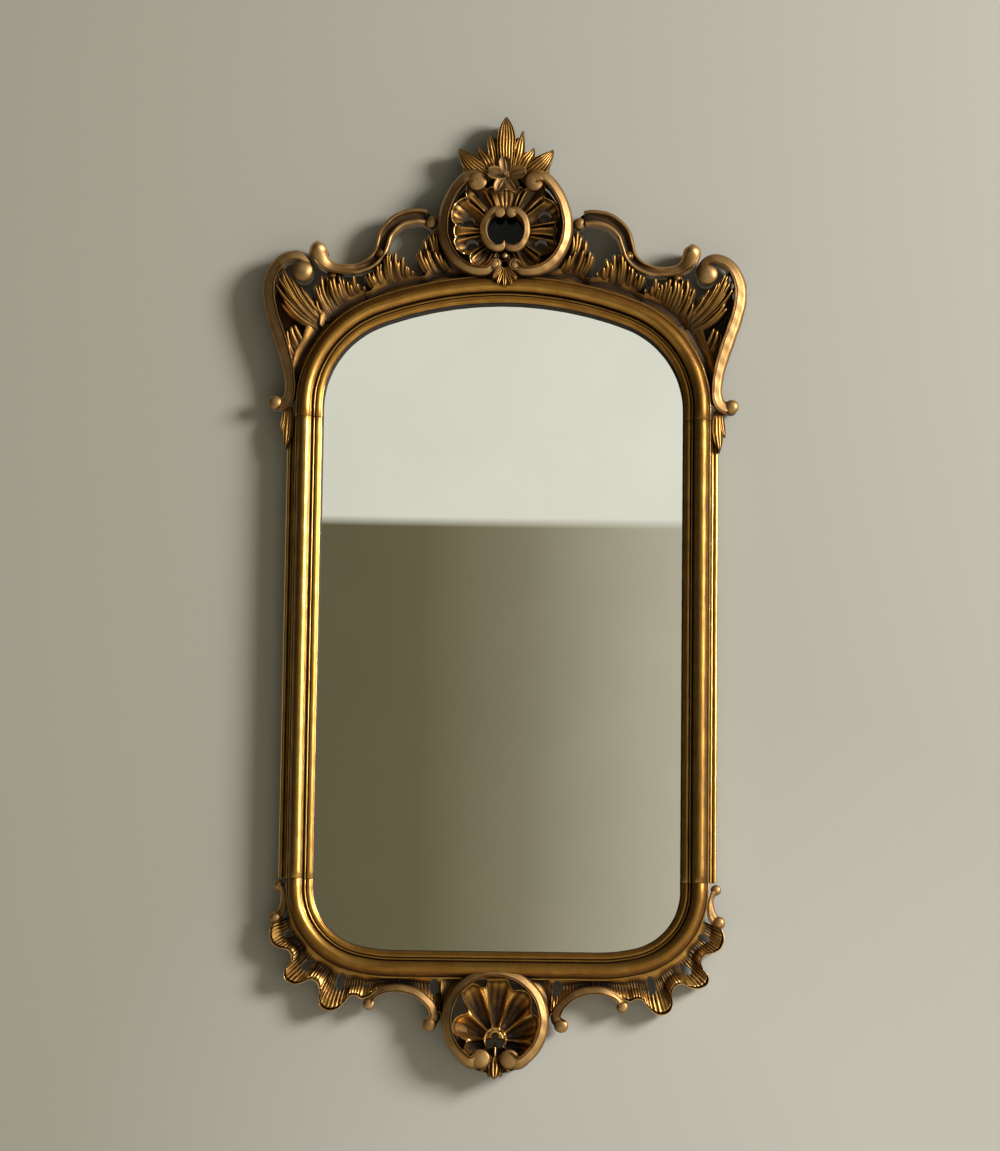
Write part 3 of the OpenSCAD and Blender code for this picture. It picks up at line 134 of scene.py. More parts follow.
def pointing(degrees):
    return np.array([math.cos(math.radians(degrees)), math.sin(math.radians(degrees))])


def arch(x):
    """Height of the outer edge of the moulding over the distance x from the middle."""
    crown, shoulder = CROWN_R + MOULD_W, SH_R + MOULD_W
    if abs(x) < crown * SH_X / (CROWN_R - SH_R):
        return CROWN_Z + math.sqrt(crown**2 - x * x)
    return SH_Z + math.sqrt(max(0, shoulder**2 - (abs(x) - SH_X) ** 2))


def lerp(a, b, f):
    return a + (b - a) * f


def step(a, b, x):
    """Smooth rise from 0 at a to 1 at b."""
    f = np.clip((x - a) / (b - a), 0, 1)
    return f * f * (3 - 2 * f)


def bump(x, c, w):
    """Smooth hump 1 high at c, about w to each side."""
    return np.exp(-(((x - c) / w) ** 2))


# ---------------------------------------------------------------- carving
class Carving:
    """Closed strips of carving that make one piece.

    Each vertex also keeps how proud it stands (0 in a hollow, 1 on an arris, where gold rubs
    through) and its lay: the distance across and along the stroke, which tool marks follow."""

    def __init__(self):
        self.points, self.faces, self.proud, self.lay, self.strokes = [], [], [], [], 0

    def strip(self, grid, proud, closed=False, seed=None):
        """grid is stations x section x 3; the section is a closed loop. Strips with one seed have
        their tool marks in common."""
        n, m = grid.shape[:2]
        marks_apart = 7.31  # so that no two strokes show the same tool marks
        first = sum(len(p) for p in self.points)
        self.strokes += 1
        along = lengths(grid.mean(1))
        around = np.stack([lengths(row) for row in grid[:: max(1, n // 8)]]).mean(0)
        lay = np.empty((n, m, 3))
        lay[..., 0], lay[..., 1] = around, along[:, None]
        lay[..., 2] = (seed or self.strokes) * marks_apart
        rows = n if closed else n - 1
        i, j = np.meshgrid(np.arange(rows), np.arange(m), indexing="ij")
        k, l = (i + 1) % n, (j + 1) % m
        quads = np.stack([i * m + j, i * m + l, k * m + l, k * m + j], -1).reshape(-1, 4)
        points, fans = grid.reshape(-1, 3), np.empty((0, 3), int)
        proud, lay = np.broadcast_to(proud, (n, m)).reshape(-1), lay.reshape(-1, 3)
        if not closed:  # close the two ends with fans
            a = np.arange(m)
            b, last, hub = (a + 1) % m, (n - 1) * m, np.full(m, n * m)
            fans = np.vstack([np.stack([b, a, hub], 1), np.stack([last + a, last + b, hub + 1], 1)])
            points = np.vstack([points, grid[[0, -1]].mean(1)])
            proud = np.r_[proud, 0.4, 0.4]
            lay = np.vstack([lay, lay[m // 2], lay[last + m // 2]])
        corners = np.vstack([quads[:, :3], quads[:, [0, 2, 3]], fans])
        a, b, c = (points[corners[:, k]] for k in range(3))
        turn = -1 if (a * np.cross(b, c)).sum() < 0 else 1  # the skin faces outward
        self.faces += [(np.array(f)[::turn] + first).tolist() for f in [*quads, *fans]]
        self.points.append(points)
        self.proud.append(proud)
        self.lay.append(lay)

    def piece(self, node, finish, side=0, made="carved", slot="gilt_carving", uneven=0.22):
        """Makes the piece that stands for a CAD node. One drawn for the right is also made for the
        left: side is then -1 or 1. Hand work is never quite even, by about uneven mm."""
        node += {-1: "_left", 0: "", 1: "_right"}[side]
        turn = side or 1
        p = np.vstack(self.points)
        p[:, 0] *= turn
        x, y, t = p.T.copy()
        p[:, 0] += uneven * np.sin(0.19 * y + 0.31 * t + 0.7)
        p[:, 1] += uneven * np.sin(0.17 * x + 0.27 * t + 1.9)
        p[:, 2] += uneven * np.sin(0.23 * x + 0.21 * y) * step(5, 12, t)
        p = np.clip(set_up(p), *np.array(cad_box))  # no carving stands out of the CAD box
        lay = np.vstack(self.lay) * [1, 1, turn]
        mesh = bpy.data.meshes.new(f"{made}_{node}")
        mesh.from_pydata(p.tolist(), [], [f[::turn] for f in self.faces])
        for name, kind, key, values in (("proud", "FLOAT", "value", np.concatenate(self.proud)),
                                        ("lay", "FLOAT_VECTOR", "vector", lay.ravel())):
            mesh.attributes.new(name, kind, "POINT").data.foreach_set(key, values.astype(np.float32))
        mesh.polygons.foreach_set("use_smooth", [True] * len(mesh.polygons))
        mesh.set_sharp_from_angle(angle=math.radians(SHARP))
        piece = bpy.data.objects.new(mesh.name, mesh)
        bpy.context.scene.collection.objects.link(piece)
        mesh.materials.append(finish)
        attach(piece, "frame")
        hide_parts(node)
        return piece


def pierce(piece, plans):
    """Cuts upright holes, given as closed plans, right through a piece."""
    low, high = -5.0, 58.0  # behind the boards and in front of every pierced piece
    points, faces = [], []
    for plan in plans:
        n, first = len(plan), len(points)
        points += [(*p, low) for p in plan] + [(*p, high) for p in plan]
        foot = np.arange(first, first + n)
        faces += [foot[::-1].tolist(), (foot + n).tolist()]
        faces += np.stack([foot, np.roll(foot, -1), np.roll(foot, -1) + n, foot + n], 1).tolist()
    mesh = bpy.data.meshes.new("cutter")
    mesh.from_pydata(set_up(points).tolist(), [], faces)
    cutter = bpy.data.objects.new("cutter", mesh)
    bpy.context.scene.collection.objects.link(cutter)
    cut = piece.modifiers.new("pierce", "BOOLEAN")
    cut.operation, cut.solver, cut.object = "DIFFERENCE", "MANIFOLD", cutter
    view = bpy.context.evaluated_depsgraph_get()
    pierced = bpy.data.meshes.new_from_object(
        piece.evaluated_get(view), preserve_all_data_layers=True, depsgraph=view)
    piece.modifiers.clear()
    piece.data = pierced
    bpy.data.objects.remove(cutter)
    bpy.data.meshes.remove(mesh)


def oval(c, rx, ry, turn=0.0):
    """Plan of a drilled or sawn hole, turned anticlockwise."""
    a = np.linspace(0, 2 * math.pi, 28, endpoint=False)
    turn = math.radians(turn)
    x, y = rx * np.cos(a), ry * np.sin(a)
    return [(c[0] + u * math.cos(turn) - v * math.sin(turn), c[1] + u * math.sin(turn) + v * math.cos(turn))
            for u, v in zip(x, y)]


def sweep(p, section, base):
    """Band along points (right, up, half width, height) with a section (across -1..1, up 0..1)."""
    u, v = section.T
    grid = np.empty((len(p), len(u), 3))
    grid[..., :2] = p[:, None, :2] + lefts(p)[:, None] * (u[None, :, None] * p[:, 2, None, None])
    grid[..., 2] = base + v * (p[:, 3:4] - base)
    return grid


def across(count):
    """Places across a section from -1 to 1, closer together at the edges."""
    return -np.cos(np.linspace(0, math.pi, count))


def closed_section(u, v, foot):
    """A section whose two sides come down to the base, foot of the half width out."""
    return np.vstack([[-foot, 0], np.stack([u, v], 1), [foot, 0]])


def proud_of(v, low=0.55):
    """How proud each place of a section stands: 0 up to the height low, 1 at the top."""
    return np.clip((v - low) / (1 - low), 0, 1)


def broad_section():
    """Broad band that falls towards the outside, with a fine raised line along the inner edge."""
    u = across(36)
    v = 0.965 - 0.085 * (u + 0.7) - 0.16 * np.clip((u - 0.4) / 0.6, 0, 1) ** 2.2
    v += 0.10 * bump(u, -0.93, 0.07) - 0.05 * bump(u, -0.72, 0.08)
    return closed_section(u, v, 0.97)


def channel_section():
    """Inner arris, hollow channel and lower outer arris."""
    line = [[-1, 0.42], [-1, 0.84], [-0.80, 0.99], [-0.52, 0.98], [-0.30, 0.58], [0, 0.50], [0.36, 0.54],
            [0.64, 0.84], [1, 0.66], [1, 0.4]]
    top = soften(line, 34, 0.10, 3.2)
    return np.vstack([[-0.9, 0], top, [0.9, 0]])


def finger_section():
    """Rounded finger of leaf: ridge a little off centre and a veiner cut down each side."""
    u = across(20)
    v = 0.34 + 0.64 * (1 - np.abs((u - 0.12 * (1 - u * u))) ** 2.1) ** 0.62
    v -= 0.13 * bump(u, -0.36, 0.13) + 0.08 * bump(u, 0.56, 0.12)
    return closed_section(u, v, 0.8)


def blade_section(flutes, depth, edge=0.68, keen=0.7):
    """Wide leaf with flutes run in by a gouge, and a thin raised edge. A low keen leaves flat bands
    parted by fine cuts."""
    u = -np.cos(np.linspace(0, math.pi, 56) * 0.98 + 0.01 * math.pi)
    v = edge + (0.93 - edge) * (1 - np.abs(u) ** 2) ** 0.7
    v += depth * (np.abs(np.cos(0.5 * math.pi * flutes * (u + 1))) ** keen - 0.62)
    v += 0.05 * (bump(u, -0.96, 0.06) + bump(u, 0.96, 0.06))
    return closed_section(u, v, 0.95)


def leaf_blade(work, points, flutes, depth=0.14):
    """Flat leaf drawn by its middle line, half widths and heights, run with fine cuts."""
    section = blade_section(flutes, depth, 0.76, keen=0.4)
    line = spline(points, 7)
    rise = np.linspace(0.6, 1, len(line))[:, None]
    work.strip(sweep(line, section, BOARD_T), proud_of(section[:, 1], 0.45)[None] * rise)


def ridge_section():
    """Narrow flame of leaf: one rounded ridge, steeper on the side that a knife has parted."""
    u = across(15)
    v = 0.50 + 0.48 * (1 - np.abs(u - 0.18 * (1 - u * u)) ** 2.3) ** 0.7
    return closed_section(u, v, 0.85)


def dome_section():
    """Plain round roll, for the end of a scroll."""
    u = across(34)
    return closed_section(u, 0.55 + 0.45 * (1 - u * u) ** 0.5, 0.8)


def petal_section():
    """Petal cupped towards the flower, with a vein and a rolled edge."""
    u = across(36)
    rolled = np.clip(np.abs(u) - 0.86, 0, 1) / 0.14
    v = 0.52 + 0.40 * np.abs(u) ** 2.2 - 0.10 * rolled + 0.16 * bump(u, 0, 0.10)
    return closed_section(u, v, 0.95)


BROAD, CHANNEL, FINGER, RIDGE, DOME, PETAL = (
    broad_section(), channel_section(), finger_section(), ridge_section(), dome_section(), petal_section())


def stroke(a, b, bow, hw, h0, h1, n, blunt, point=False):
    """Line of a leaf from root to tip, bowed to the right of its direction: a blunt tongue, or a
    leaf that comes to a point."""
    a, b = np.array(a, float), np.array(b, float)
    f = 1 - (1 - np.linspace(0, 1, n)) ** 1.5
    d = b - a
    c = (a + b) / 2 + np.array([d[1], -d[0]]) * bow
    plan = a * ((1 - f) ** 2)[:, None] + c * (2 * f * (1 - f))[:, None] + b * (f * f)[:, None]
    if point:
        width = hw * (0.60 + 1.62 * f * (1 - f) - 0.48 * f**4)
    else:
        width = hw * (0.78 + 0.30 * np.sin(math.pi * f) - 0.22 * f**5)
    width *= np.sqrt(np.clip(1 - (np.clip(f - 1 + blunt, 0, None) / blunt) ** 2, 0.004, 1))
    height = h0 + (h1 - h0) * np.sin(np.radians(100 * f))
    height -= (h1 - BOARD_T) * 0.30 * np.clip((f - 0.88) / 0.12, 0, 1) ** 2.5
    return np.column_stack([plan, width, height])


def finger(work, a, b, bow, hw, h0, h1, section, blunt=0.2, base=BOARD_T, point=False):
    """One stroke of leaf or petal, from height h0 at the root a to h1 at the tip b."""
    grid = sweep(stroke(a, b, bow, hw, h0, h1, 26, blunt, point), section, base)
    rise = np.linspace(0, 1, len(grid))[:, None]
    work.strip(grid, proud_of(section[:, 1], 0.5)[None] * (0.70 + 0.30 * rise))


def flame(work, root, tip, hw, h, bow=0.15, foot=25.0):
    """Narrow tongue of leaf: broad where it leaves the mass, thinning to a blunt tip."""
    line = stroke(root, tip, bow, hw * 1.5, foot, h, 20, 0.07)
    line[:, 2] *= np.linspace(1.35, 0.92, len(line))
    rise = np.linspace(0.25, 1, len(line))[:, None] ** 0.8
    work.strip(sweep(line, RIDGE, BOARD_T), proud_of(RIDGE[:, 1], 0.62)[None] * rise - 0.30 * (1 - rise))


def turned(c, radii, heights, count, tall=1.0):
    """Rings of points round a centre, as a lathe makes them; tall squashes them in the up direction."""
    a = np.linspace(0, 2 * math.pi, count, endpoint=False)[:, None]
    grid = np.empty((count, len(radii), 3))
    grid[..., 0] = c[0] + np.cos(a) * radii
    grid[..., 1] = c[1] + np.sin(a) * radii * tall
    grid[..., 2] = heights
    return grid


def boss(work, c, r, base, h, roll=0.0, flat=0.86, turn=0.0, hand=1):
    """Round end of a scroll: a neck under a softly flattened dome. roll cuts the line of the curl
    round it, starting turn turns round from the right."""
    count = 56
    top = max(h, base + r)
    lift = np.radians(np.r_[np.linspace(-60, 0, 8), np.linspace(4, 90, 30)])
    rad, t = np.cos(lift) ** 0.9 * r, top + np.sin(lift) * r * flat
    rad[-1] = 0.01  # the dome all but closes
    neck = 0.9 * r
    rad = np.r_[neck, neck, rad]
    t = np.r_[base, lerp(base, t[0], 0.8), t]
    grid = turned(c, rad, t, count)
    proud = np.clip((t - top) / (r * flat), 0, 1) * np.ones((count, 1))
    if roll:
        way = (hand * np.arange(count)[:, None] / count - turn) % 1
        line = bump(rad / r, 0.90 - 0.42 * way, 0.09) * (t > top)
        grid[..., 2] -= roll * line
        proud = np.clip(proud - 0.8 * line, 0, 1)
    # the loop closes through the foot of the neck
    work.strip(grid, proud * 0.9, closed=True)


def scroll(work, line, base=BOARD_T, section=BROAD):
    """Band of a scroll along a smooth line."""
    work.strip(sweep(line, section, base), proud_of(section[:, 1], 0.6))


def patch(work, inner, outer, height, f, base, closed=False, proud=None):
    """Carved field between two lines; height is lines x steps f from the inner to the outer."""
    n, m = height.shape
    grid = np.empty((n, m + 2, 3))
    grid[:, :m, :2] = inner[:, None] + (outer - inner)[:, None] * f[None, :, None]
    grid[:, :m, 2] = height
    grid[:, m, :2], grid[:, m, 2] = outer, base
    grid[:, m + 1, :2], grid[:, m + 1, 2] = inner, base
    if proud is None:
        proud = stand(height, closed)
    shown = np.zeros((n, m + 2))
    shown[:, :m] = proud
    work.strip(grid, shown, closed)


def stand(height, closed=False, gain=0.22):
    """How proud each place of a field stands over what is round it."""
    low = height.copy()
    for _ in range(14):  # each round smooths one step further
        edge = np.pad(low, ((0, 0), (1, 1)), "edge")
        low = (edge[:, :-2] + edge[:, 1:-1] + edge[:, 2:]) / 3
        ring = np.pad(low, ((1, 1), (0, 0)), "wrap" if closed else "edge")
        low = (ring[:-2] + ring[1:-1] + ring[2:]) / 3
    return np.clip(0.5 + gain * (height - low), 0, 1)


# ---------------------------------------------------------------- materials
def srgb(text):
    """sRGB hex to the linear colour that a shader takes."""
    c = np.array([int(text[i : i + 2], 16) for i in (0, 2, 4)]) / 255
    return (*np.where(c <= 0.04045, c / 12.92, ((c + 0.055) / 1.055) ** 2.4), 1.0)


def add(tree, kind, inputs=None, ramp=None, **settings):
    """A node with its settings, its values and its links. A link is a socket, or a node whose one
    open output is meant; ramp is [(place, hex)]. Inputs that share a name go by number: of a
    MapRange, 0 is the value, 1 and 2 its range, and 3 and 4 the range that it is carried to."""
    made = tree.nodes.new("ShaderNode" + kind)
    for key, value in settings.items():
        setattr(made, key, value)
    for key, value in (inputs or {}).items():
        if isinstance(value, bpy.types.Node):
            value = next(socket for socket in value.outputs if socket.enabled)
        if isinstance(value, bpy.types.NodeSocket):
            tree.links.new(value, made.inputs[key])
        else:
            made.inputs[key].default_value = value
    if ramp:
        stops = made.color_ramp.elements
        while len(stops) < len(ramp):
            stops.new(1)
        for stop, (place, colour) in zip(stops, ramp):
            stop.position = place
            stop.color = srgb(colour)
    return made


def start(name):
    material = bpy.data.materials.new(name)
    material.use_nodes = True
    material.node_tree.nodes.clear()
    return material, material.node_tree


def gilding(name, colours, rub=1.0, streak=0.5, grime_and_shade=1.0, fine=0.9, dull=0.56, bright=0.34):
    """Old gold leaf over red-brown bole and gesso, toned with size.

    The arrises are rubbed to bright gold, the flats have gone bronze, and brown size and dust
    lie in the hollows; ambient occlusion darkens the hollows and the places where parts meet further, as
    painted shade, so the eye reads every cut. Leaf is metal; the toning over it is not."""
    material, tree = start(name)
    lay = add(tree, "Attribute", attribute_name="lay")
    proud = add(tree, "Attribute", attribute_name="proud")
    where = add(tree, "TexCoord").outputs["Object"]
    # tool marks and brush strokes: 1 to 2.5 mm across the stroke, as fine says, and 50 mm along it
    run = add(tree, "Mapping", {"Vector": lay.outputs["Vector"], "Scale": (fine, 0.025, 1.0)})
    marks = add(tree, "TexNoise", {"Vector": run, "Scale": 0.8, "Detail": 5, "Roughness": 0.6})
    # toning laid on in clouds 25 mm wide, and a 1.5 mm break-up of the leaf
    clouds = add(tree, "TexNoise", {"Vector": where, "Scale": 40, "Detail": 4})
    specks = add(tree, "TexNoise", {"Vector": where, "Scale": 650, "Detail": 3, "Roughness": 0.7})
    # painted shade as well as dirt: ambient occlusion darkens the hollows and the places where parts meet,
    # where size and dust lie and where shade falls
    hollow = add(tree, "AmbientOcclusion", {"Distance": 0.016}, samples=8)
    depth = add(tree, "MapRange", {0: hollow.outputs["AO"], 1: 0.25, 2: 0.95, 3: -0.42 * grime_and_shade, 4: 0.0})
    arris = add(tree, "MapRange", {
        0: proud.outputs["Fac"], 1: -0.6, 2: 1.0, 3: 0.50 - 0.45 * rub, 4: 0.50 + 0.16 * rub})
    line = add(tree, "Math", {0: marks, 1: streak, 2: arris}, operation="MULTIPLY_ADD")
    cloud = add(tree, "Math", {0: clouds, 1: 0.30, 2: line}, operation="MULTIPLY_ADD")
    speck = add(tree, "Math", {0: specks, 1: 0.16, 2: cloud}, operation="MULTIPLY_ADD")
    centre = add(tree, "Math", {0: speck, 1: 0.5 * streak + 0.23}, operation="SUBTRACT")
    state = add(tree, "Math", {0: centre, 1: depth}, operation="ADD", use_clamp=True)
    tone = add(tree, "ValToRGB", {0: state}, ramp=colours)
    metal = add(tree, "MapRange", {0: state, 1: 0.12, 2: 0.50, 3: 0.30, 4: 0.92})
    gloss = add(tree, "MapRange", {0: state, 1: 0.15, 2: 0.85, 3: dull, 4: bright})
    ripple = add(tree, "Math", {0: marks, 1: 0.7, 2: specks}, operation="MULTIPLY_ADD")
    relief = add(tree, "Bump", {"Strength": 0.35, "Distance": 0.0006, "Height": ripple})
    leaf = add(tree, "BsdfPrincipled", {
        "Base Color": tone, "Metallic": metal, "Roughness": gloss, "Normal": relief})
    add(tree, "OutputMaterial", {0: leaf})
    return material


def sawn_wood(name, dark, mid, light, along, rough=0.62):
    """Planed softwood boards, dry and a little dusty: the growth lines run along the board."""
    material, tree = start(name)
    where = add(tree, "TexCoord").outputs["Object"]
    # growth lines 3 mm apart, drawn out 40 times along the board
    stretch = [333.0, 333.0, 333.0]
    stretch[along] = 8.0
    grain = add(tree, "Mapping", {"Vector": where, "Scale": stretch})
    lines = add(tree, "TexNoise", {"Vector": grain, "Scale": 1.0, "Detail": 6, "Distortion": 0.6})
    stain = add(tree, "TexNoise", {"Vector": where, "Scale": 9, "Detail": 3})
    both = add(tree, "Math", {0: stain, 1: 0.5, 2: lines}, operation="MULTIPLY_ADD")
    tone = add(tree, "ValToRGB", {0: both}, ramp=[(0.55, dark), (0.75, mid), (0.95, light)])
    relief = add(tree, "Bump", {"Strength": 0.25, "Distance": 0.0004, "Height": lines})
    wood = add(tree, "BsdfPrincipled", {"Base Color": tone, "Roughness": rough, "Normal": relief})
    add(tree, "OutputMaterial", {0: wood})
    return material


def mottled(name, scale, colours, detail=4, distortion=0.0, gloss=None, relief=None, **shader):
    """A finish whose colour follows one noise, and so do its roughness (gloss: noise from and to,
    roughness from and to) and its relief (strength, depth in metres) where they are given."""
    material, tree = start(name)
    where = add(tree, "TexCoord").outputs["Object"]
    cloud = add(tree, "TexNoise", {
        "Vector": where, "Scale": scale, "Detail": detail, "Distortion": distortion})
    values = {"Base Color": add(tree, "ValToRGB", {0: cloud}, ramp=colours), **shader}
    if gloss:
        values["Roughness"] = add(tree, "MapRange", {0: cloud, **dict(enumerate(gloss, 1))})
    if relief:
        values["Normal"] = add(tree, "Bump", {"Strength": relief[0], "Distance": relief[1], "Height": cloud})
    add(tree, "OutputMaterial", {0: add(tree, "BsdfPrincipled", values)})
    return material


# burnished leaf, rubbed along the rolls: sharp yellow lights beside quirks that size and painted shade make
# near black
moulding_gilt = gilding("worn_water_gilding_on_moulding", [
    (0.0, "140a04"), (0.16, "371e0a"), (0.34, "774f1a"), (0.52, "ac7932"), (0.72, "d9a856"),
    (0.93, "f8dd9a")],
    rub=1.35, streak=0.42, grime_and_shade=1.0, fine=1.1, dull=0.46, bright=0.24)
# the same leaf, wiped up and down the stiles for years: paler, with long streaks
stile_gilt = gilding("worn_water_gilding_on_stiles", [
    (0.0, "160c04"), (0.16, "371f09"), (0.34, "77501c"), (0.52, "b08238"), (0.72, "dbb262"),
    (0.93, "f8e4ac")],
    rub=1.35, streak=0.62, grime_and_shade=1.0, fine=1.2, dull=0.46, bright=0.24)
# leaves and shells: pale gold on every tip and rib, and dark size and painted shade in the cuts between
carving_gilt = gilding("toned_gilding_on_carving", [
    (0.0, "130b05"), (0.18, "37230e"), (0.38, "7d5a28"), (0.54, "be8d46"), (0.72, "e8bc70"),
    (0.93, "ffeabc")],
    rub=1.35, streak=0.36, grime_and_shade=0.62, fine=0.7, dull=0.50, bright=0.28)
# scrolls and flower: broad faces toned with bronze and waxed, so browner and softer than the leaves
scroll_gilt = gilding("bronzed_gilding_on_scrolls", [
    (0.0, "1a1007"), (0.18, "432d15"), (0.38, "876538"), (0.54, "b98f59"), (0.74, "dfba80"),
    (0.95, "fce8c2")],
    rub=0.95, streak=0.30, grime_and_shade=0.75, fine=0.5, dull=0.56, bright=0.36)
# flat boards behind the carving: thin leaf, evenly toned down and made darker than the carving as painted
# shade, so that the recesses behind the carving stay quiet and dark
board_gilt_with_painted_shade = gilding("toned_boards_with_painted_shade", [
    (0.0, "150c05"), (0.25, "3a2510"), (0.5, "7a5526"), (0.75, "a57c3f"), (1.0, "c9a05a")],
    rub=0.6, streak=0.1, grime_and_shade=0.45)
# carcass and battens show a fresh tan; the thin backing board is browner and duller
wood_up = sawn_wood("planed_softwood_upright", "7d6039", "b08f5f", "cbaf80", 2)
wood_across = sawn_wood("planed_softwood_level", "7d6039", "b08f5f", "cbaf80", 0)
back_panel = sawn_wood("thin_brown_backing_board", "5d4428", "806140", "967550", 2, 0.75)
# plain fixings, dulled by the air: a bloom in patches 1 to 3 mm wide that darkens and mats the metal
steel = mottled("dull_steel", 900, [(0.35, "55524c"), (0.62, "8f8d87")], gloss=(0.3, 0.7, 0.60, 0.42),
                relief=(0.15, 0.0002), Metallic=1.0)
zinc = mottled("zinc_plated_strip", 300, [(0.35, "8a8880"), (0.62, "b4b3ad")], gloss=(0.3, 0.7, 0.56, 0.38),
               relief=(0.15, 0.0002), Metallic=1.0)
brass = mottled("dull_brass_wire", 700, [(0.35, "7d6636"), (0.62, "c2a45c")], gloss=(0.3, 0.7, 0.52, 0.34),
                relief=(0.15, 0.0002), Metallic=1.0)
# silvered glass: a clear cool image with a trace of green, and a breath of haze in clouds 170 mm wide
silvered_glass = mottled("silvered_plate_glass", 6, [(0.35, "eceee8"), (0.7, "f2f3ee")], 5,
                         gloss=(0.4, 0.8, 0.0, 0.006), Metallic=1.0)
# near-black glass: nearly all that shows is its polish, under faint dust in patches 3 mm wide
black_glass = mottled("black_plate_glass", 300, [(0.45, "07090a"), (0.75, "101416")], 5,
                      gloss=(0.4, 0.8, 0.05, 0.16), **{"Specular IOR Level": 0.12})
# pressed wool felt: soft, dark and matt, with a fibre 0.3 mm thick drawn at 0.8 mm
felt = mottled("dark_wool_felt", 1200, [(0.3, "1d1915"), (0.7, "40382f")], 6, 1.5, relief=(0.6, 0.0006),
               **{"Roughness": 0.95, "Sheen Weight": 0.4})

# pieces that keep their CAD shape, by their finish
PLAIN = {
    silvered_glass: ["mirror_glass"],
    black_glass: ["cartouche_plate"],
    felt: ["wall_pads"],
    back_panel: ["backing_board"],
    steel: ["backing_brads", "lap_screws", "batten_screws", "hanger_screws"],
    zinc: ["hanger_strap_left", "hanger_strap_right"],
    brass: ["hanger_ring_left", "hanger_ring_right"],
    wood_across: ["carcass_head", "carcass_base", "battens_side"],
    wood_up: ["carcass_stile_left", "carcass_stile_right", "batten_centre"],
    board_gilt_with_painted_shade: ["crest_board", "apron_board"],
}
for finish, nodes in PLAIN.items():
    for node in nodes:
        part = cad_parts[node]
        if not part.material_slots:
            part.data.materials.append(finish)
        for place in part.material_slots:
            place.material = finish


# ---------------------------------------------------------------- moulding
def moulding_line():
    """Lip, quarter-round, fine bead, half-round and fillet, from the glass edge outward."""
    floor, q = 33.0, 8.5
    return np.vstack([
        [[0, 14], [0, 27], [0.5, 27.8]],
        arc((9.5, 27.5), q, 180, math.degrees(math.acos(1.8 / q)), 10),
        [[11.3, floor]],
        arc((14.65, floor), 2.2, 180, 0, 10),
        [[18, floor]],
        arc((30, 37.5), 12, 180, 0, 26),
        [[42, 35], [42.8, 35], [42.8, 37.5], [45.5, 37.5], [45.5, 14]]])


def round_arcs(*arcs):
    """Stations (right, up, outward x, outward y) round each arc: centre, radius, from, to, steps."""
    return [np.hstack([arc(c, r, a0, a1, n), arc((0, 0), 1, a0, a1, n)]) for c, r, a0, a1, n in arcs]


def closed_off(runs, end, way):
    """Stations of a bent run with its two eased ends on the stiles, way being up or down the stile."""
    inner = end + EASED * way
    return np.vstack([[-HALF, end, -1, 0], [-HALF, inner, -1, 0], *runs,
                      [HALF, inner, 1, 0], [HALF, end, 1, 0]])


def head_stations():
    left, crown, right = round_arcs(
        ((-SH_X, SH_Z), SH_R, 180, 180 - CROWN_A, 22),
        ((0, CROWN_Z), CROWN_R, 180 - CROWN_A, CROWN_A, 44),
        ((SH_X, SH_Z), SH_R, CROWN_A, 0, 22))
    return closed_off([left[:-1], crown[:-1], right], JOINT_TOP + CRACK, 1)


def base_stations():
    left, ease_down, ease_up, right = round_arcs(
        ((-TOE_X, TOE_Z), TOE_R, 180, 180 - TOE_A, 20),
        ((-EASE_X, EASE_R), EASE_R, 180 - TOE_A, 270, 6),
        ((EASE_X, EASE_R), EASE_R, -90, TOE_A, 6),
        ((TOE_X, TOE_Z), TOE_R, TOE_A, 0, 20))
    flat = np.array([[x, 0, 0, -1] for x in np.linspace(-EASE_X, EASE_X, 26)[1:-1]])
    return closed_off([left[:-1], ease_down, flat, ease_up, right[1:]], JOINT_LOW - CRACK, -1)


def stile_stations():
    low, top = JOINT_LOW + CRACK, JOINT_TOP - CRACK
    ups = np.r_[low, low + EASED, np.linspace(JOINT_LOW + 12, JOINT_TOP - 12, 62), top - EASED, top]
    return up_the_stile(ups)


def up_the_stile(ups):
    return np.array([[HALF, y, 1, 0] for y in ups])


def run_of(stations, line):
    """A moulded section (outward, height) carried round the stations."""
    grid = np.empty((len(stations), len(line), 3))
    grid[..., :2] = stations[:, None, :2] + stations[:, None, 2:] * line[None, :, :1]
    grid[..., 2] = line[:, 1]
    return grid


def eased(grid):
    """Eases the cut ends of a run, so that a joint shows as a fine line."""
    grid[[0, -1], 1:-1, 2] -= 0.35
    return grid


def stand_of_line(line):
    """How proud each place of a section stands over the line smoothed round it."""
    reach, gain = 2.5, 0.9
    d = lengths(line)
    weight = np.exp(-0.5 * ((d[:, None] - d[None]) / reach) ** 2)
    low = (weight @ line) / weight.sum(1)[:, None]
    t = np.gradient(line, axis=0)
    t /= np.linalg.norm(t, axis=1)[:, None]
    out = ((line - low) * np.stack([-t[:, 1], t[:, 0]], 1)).sum(1)
    return np.clip(0.45 + gain * out, 0, 1)


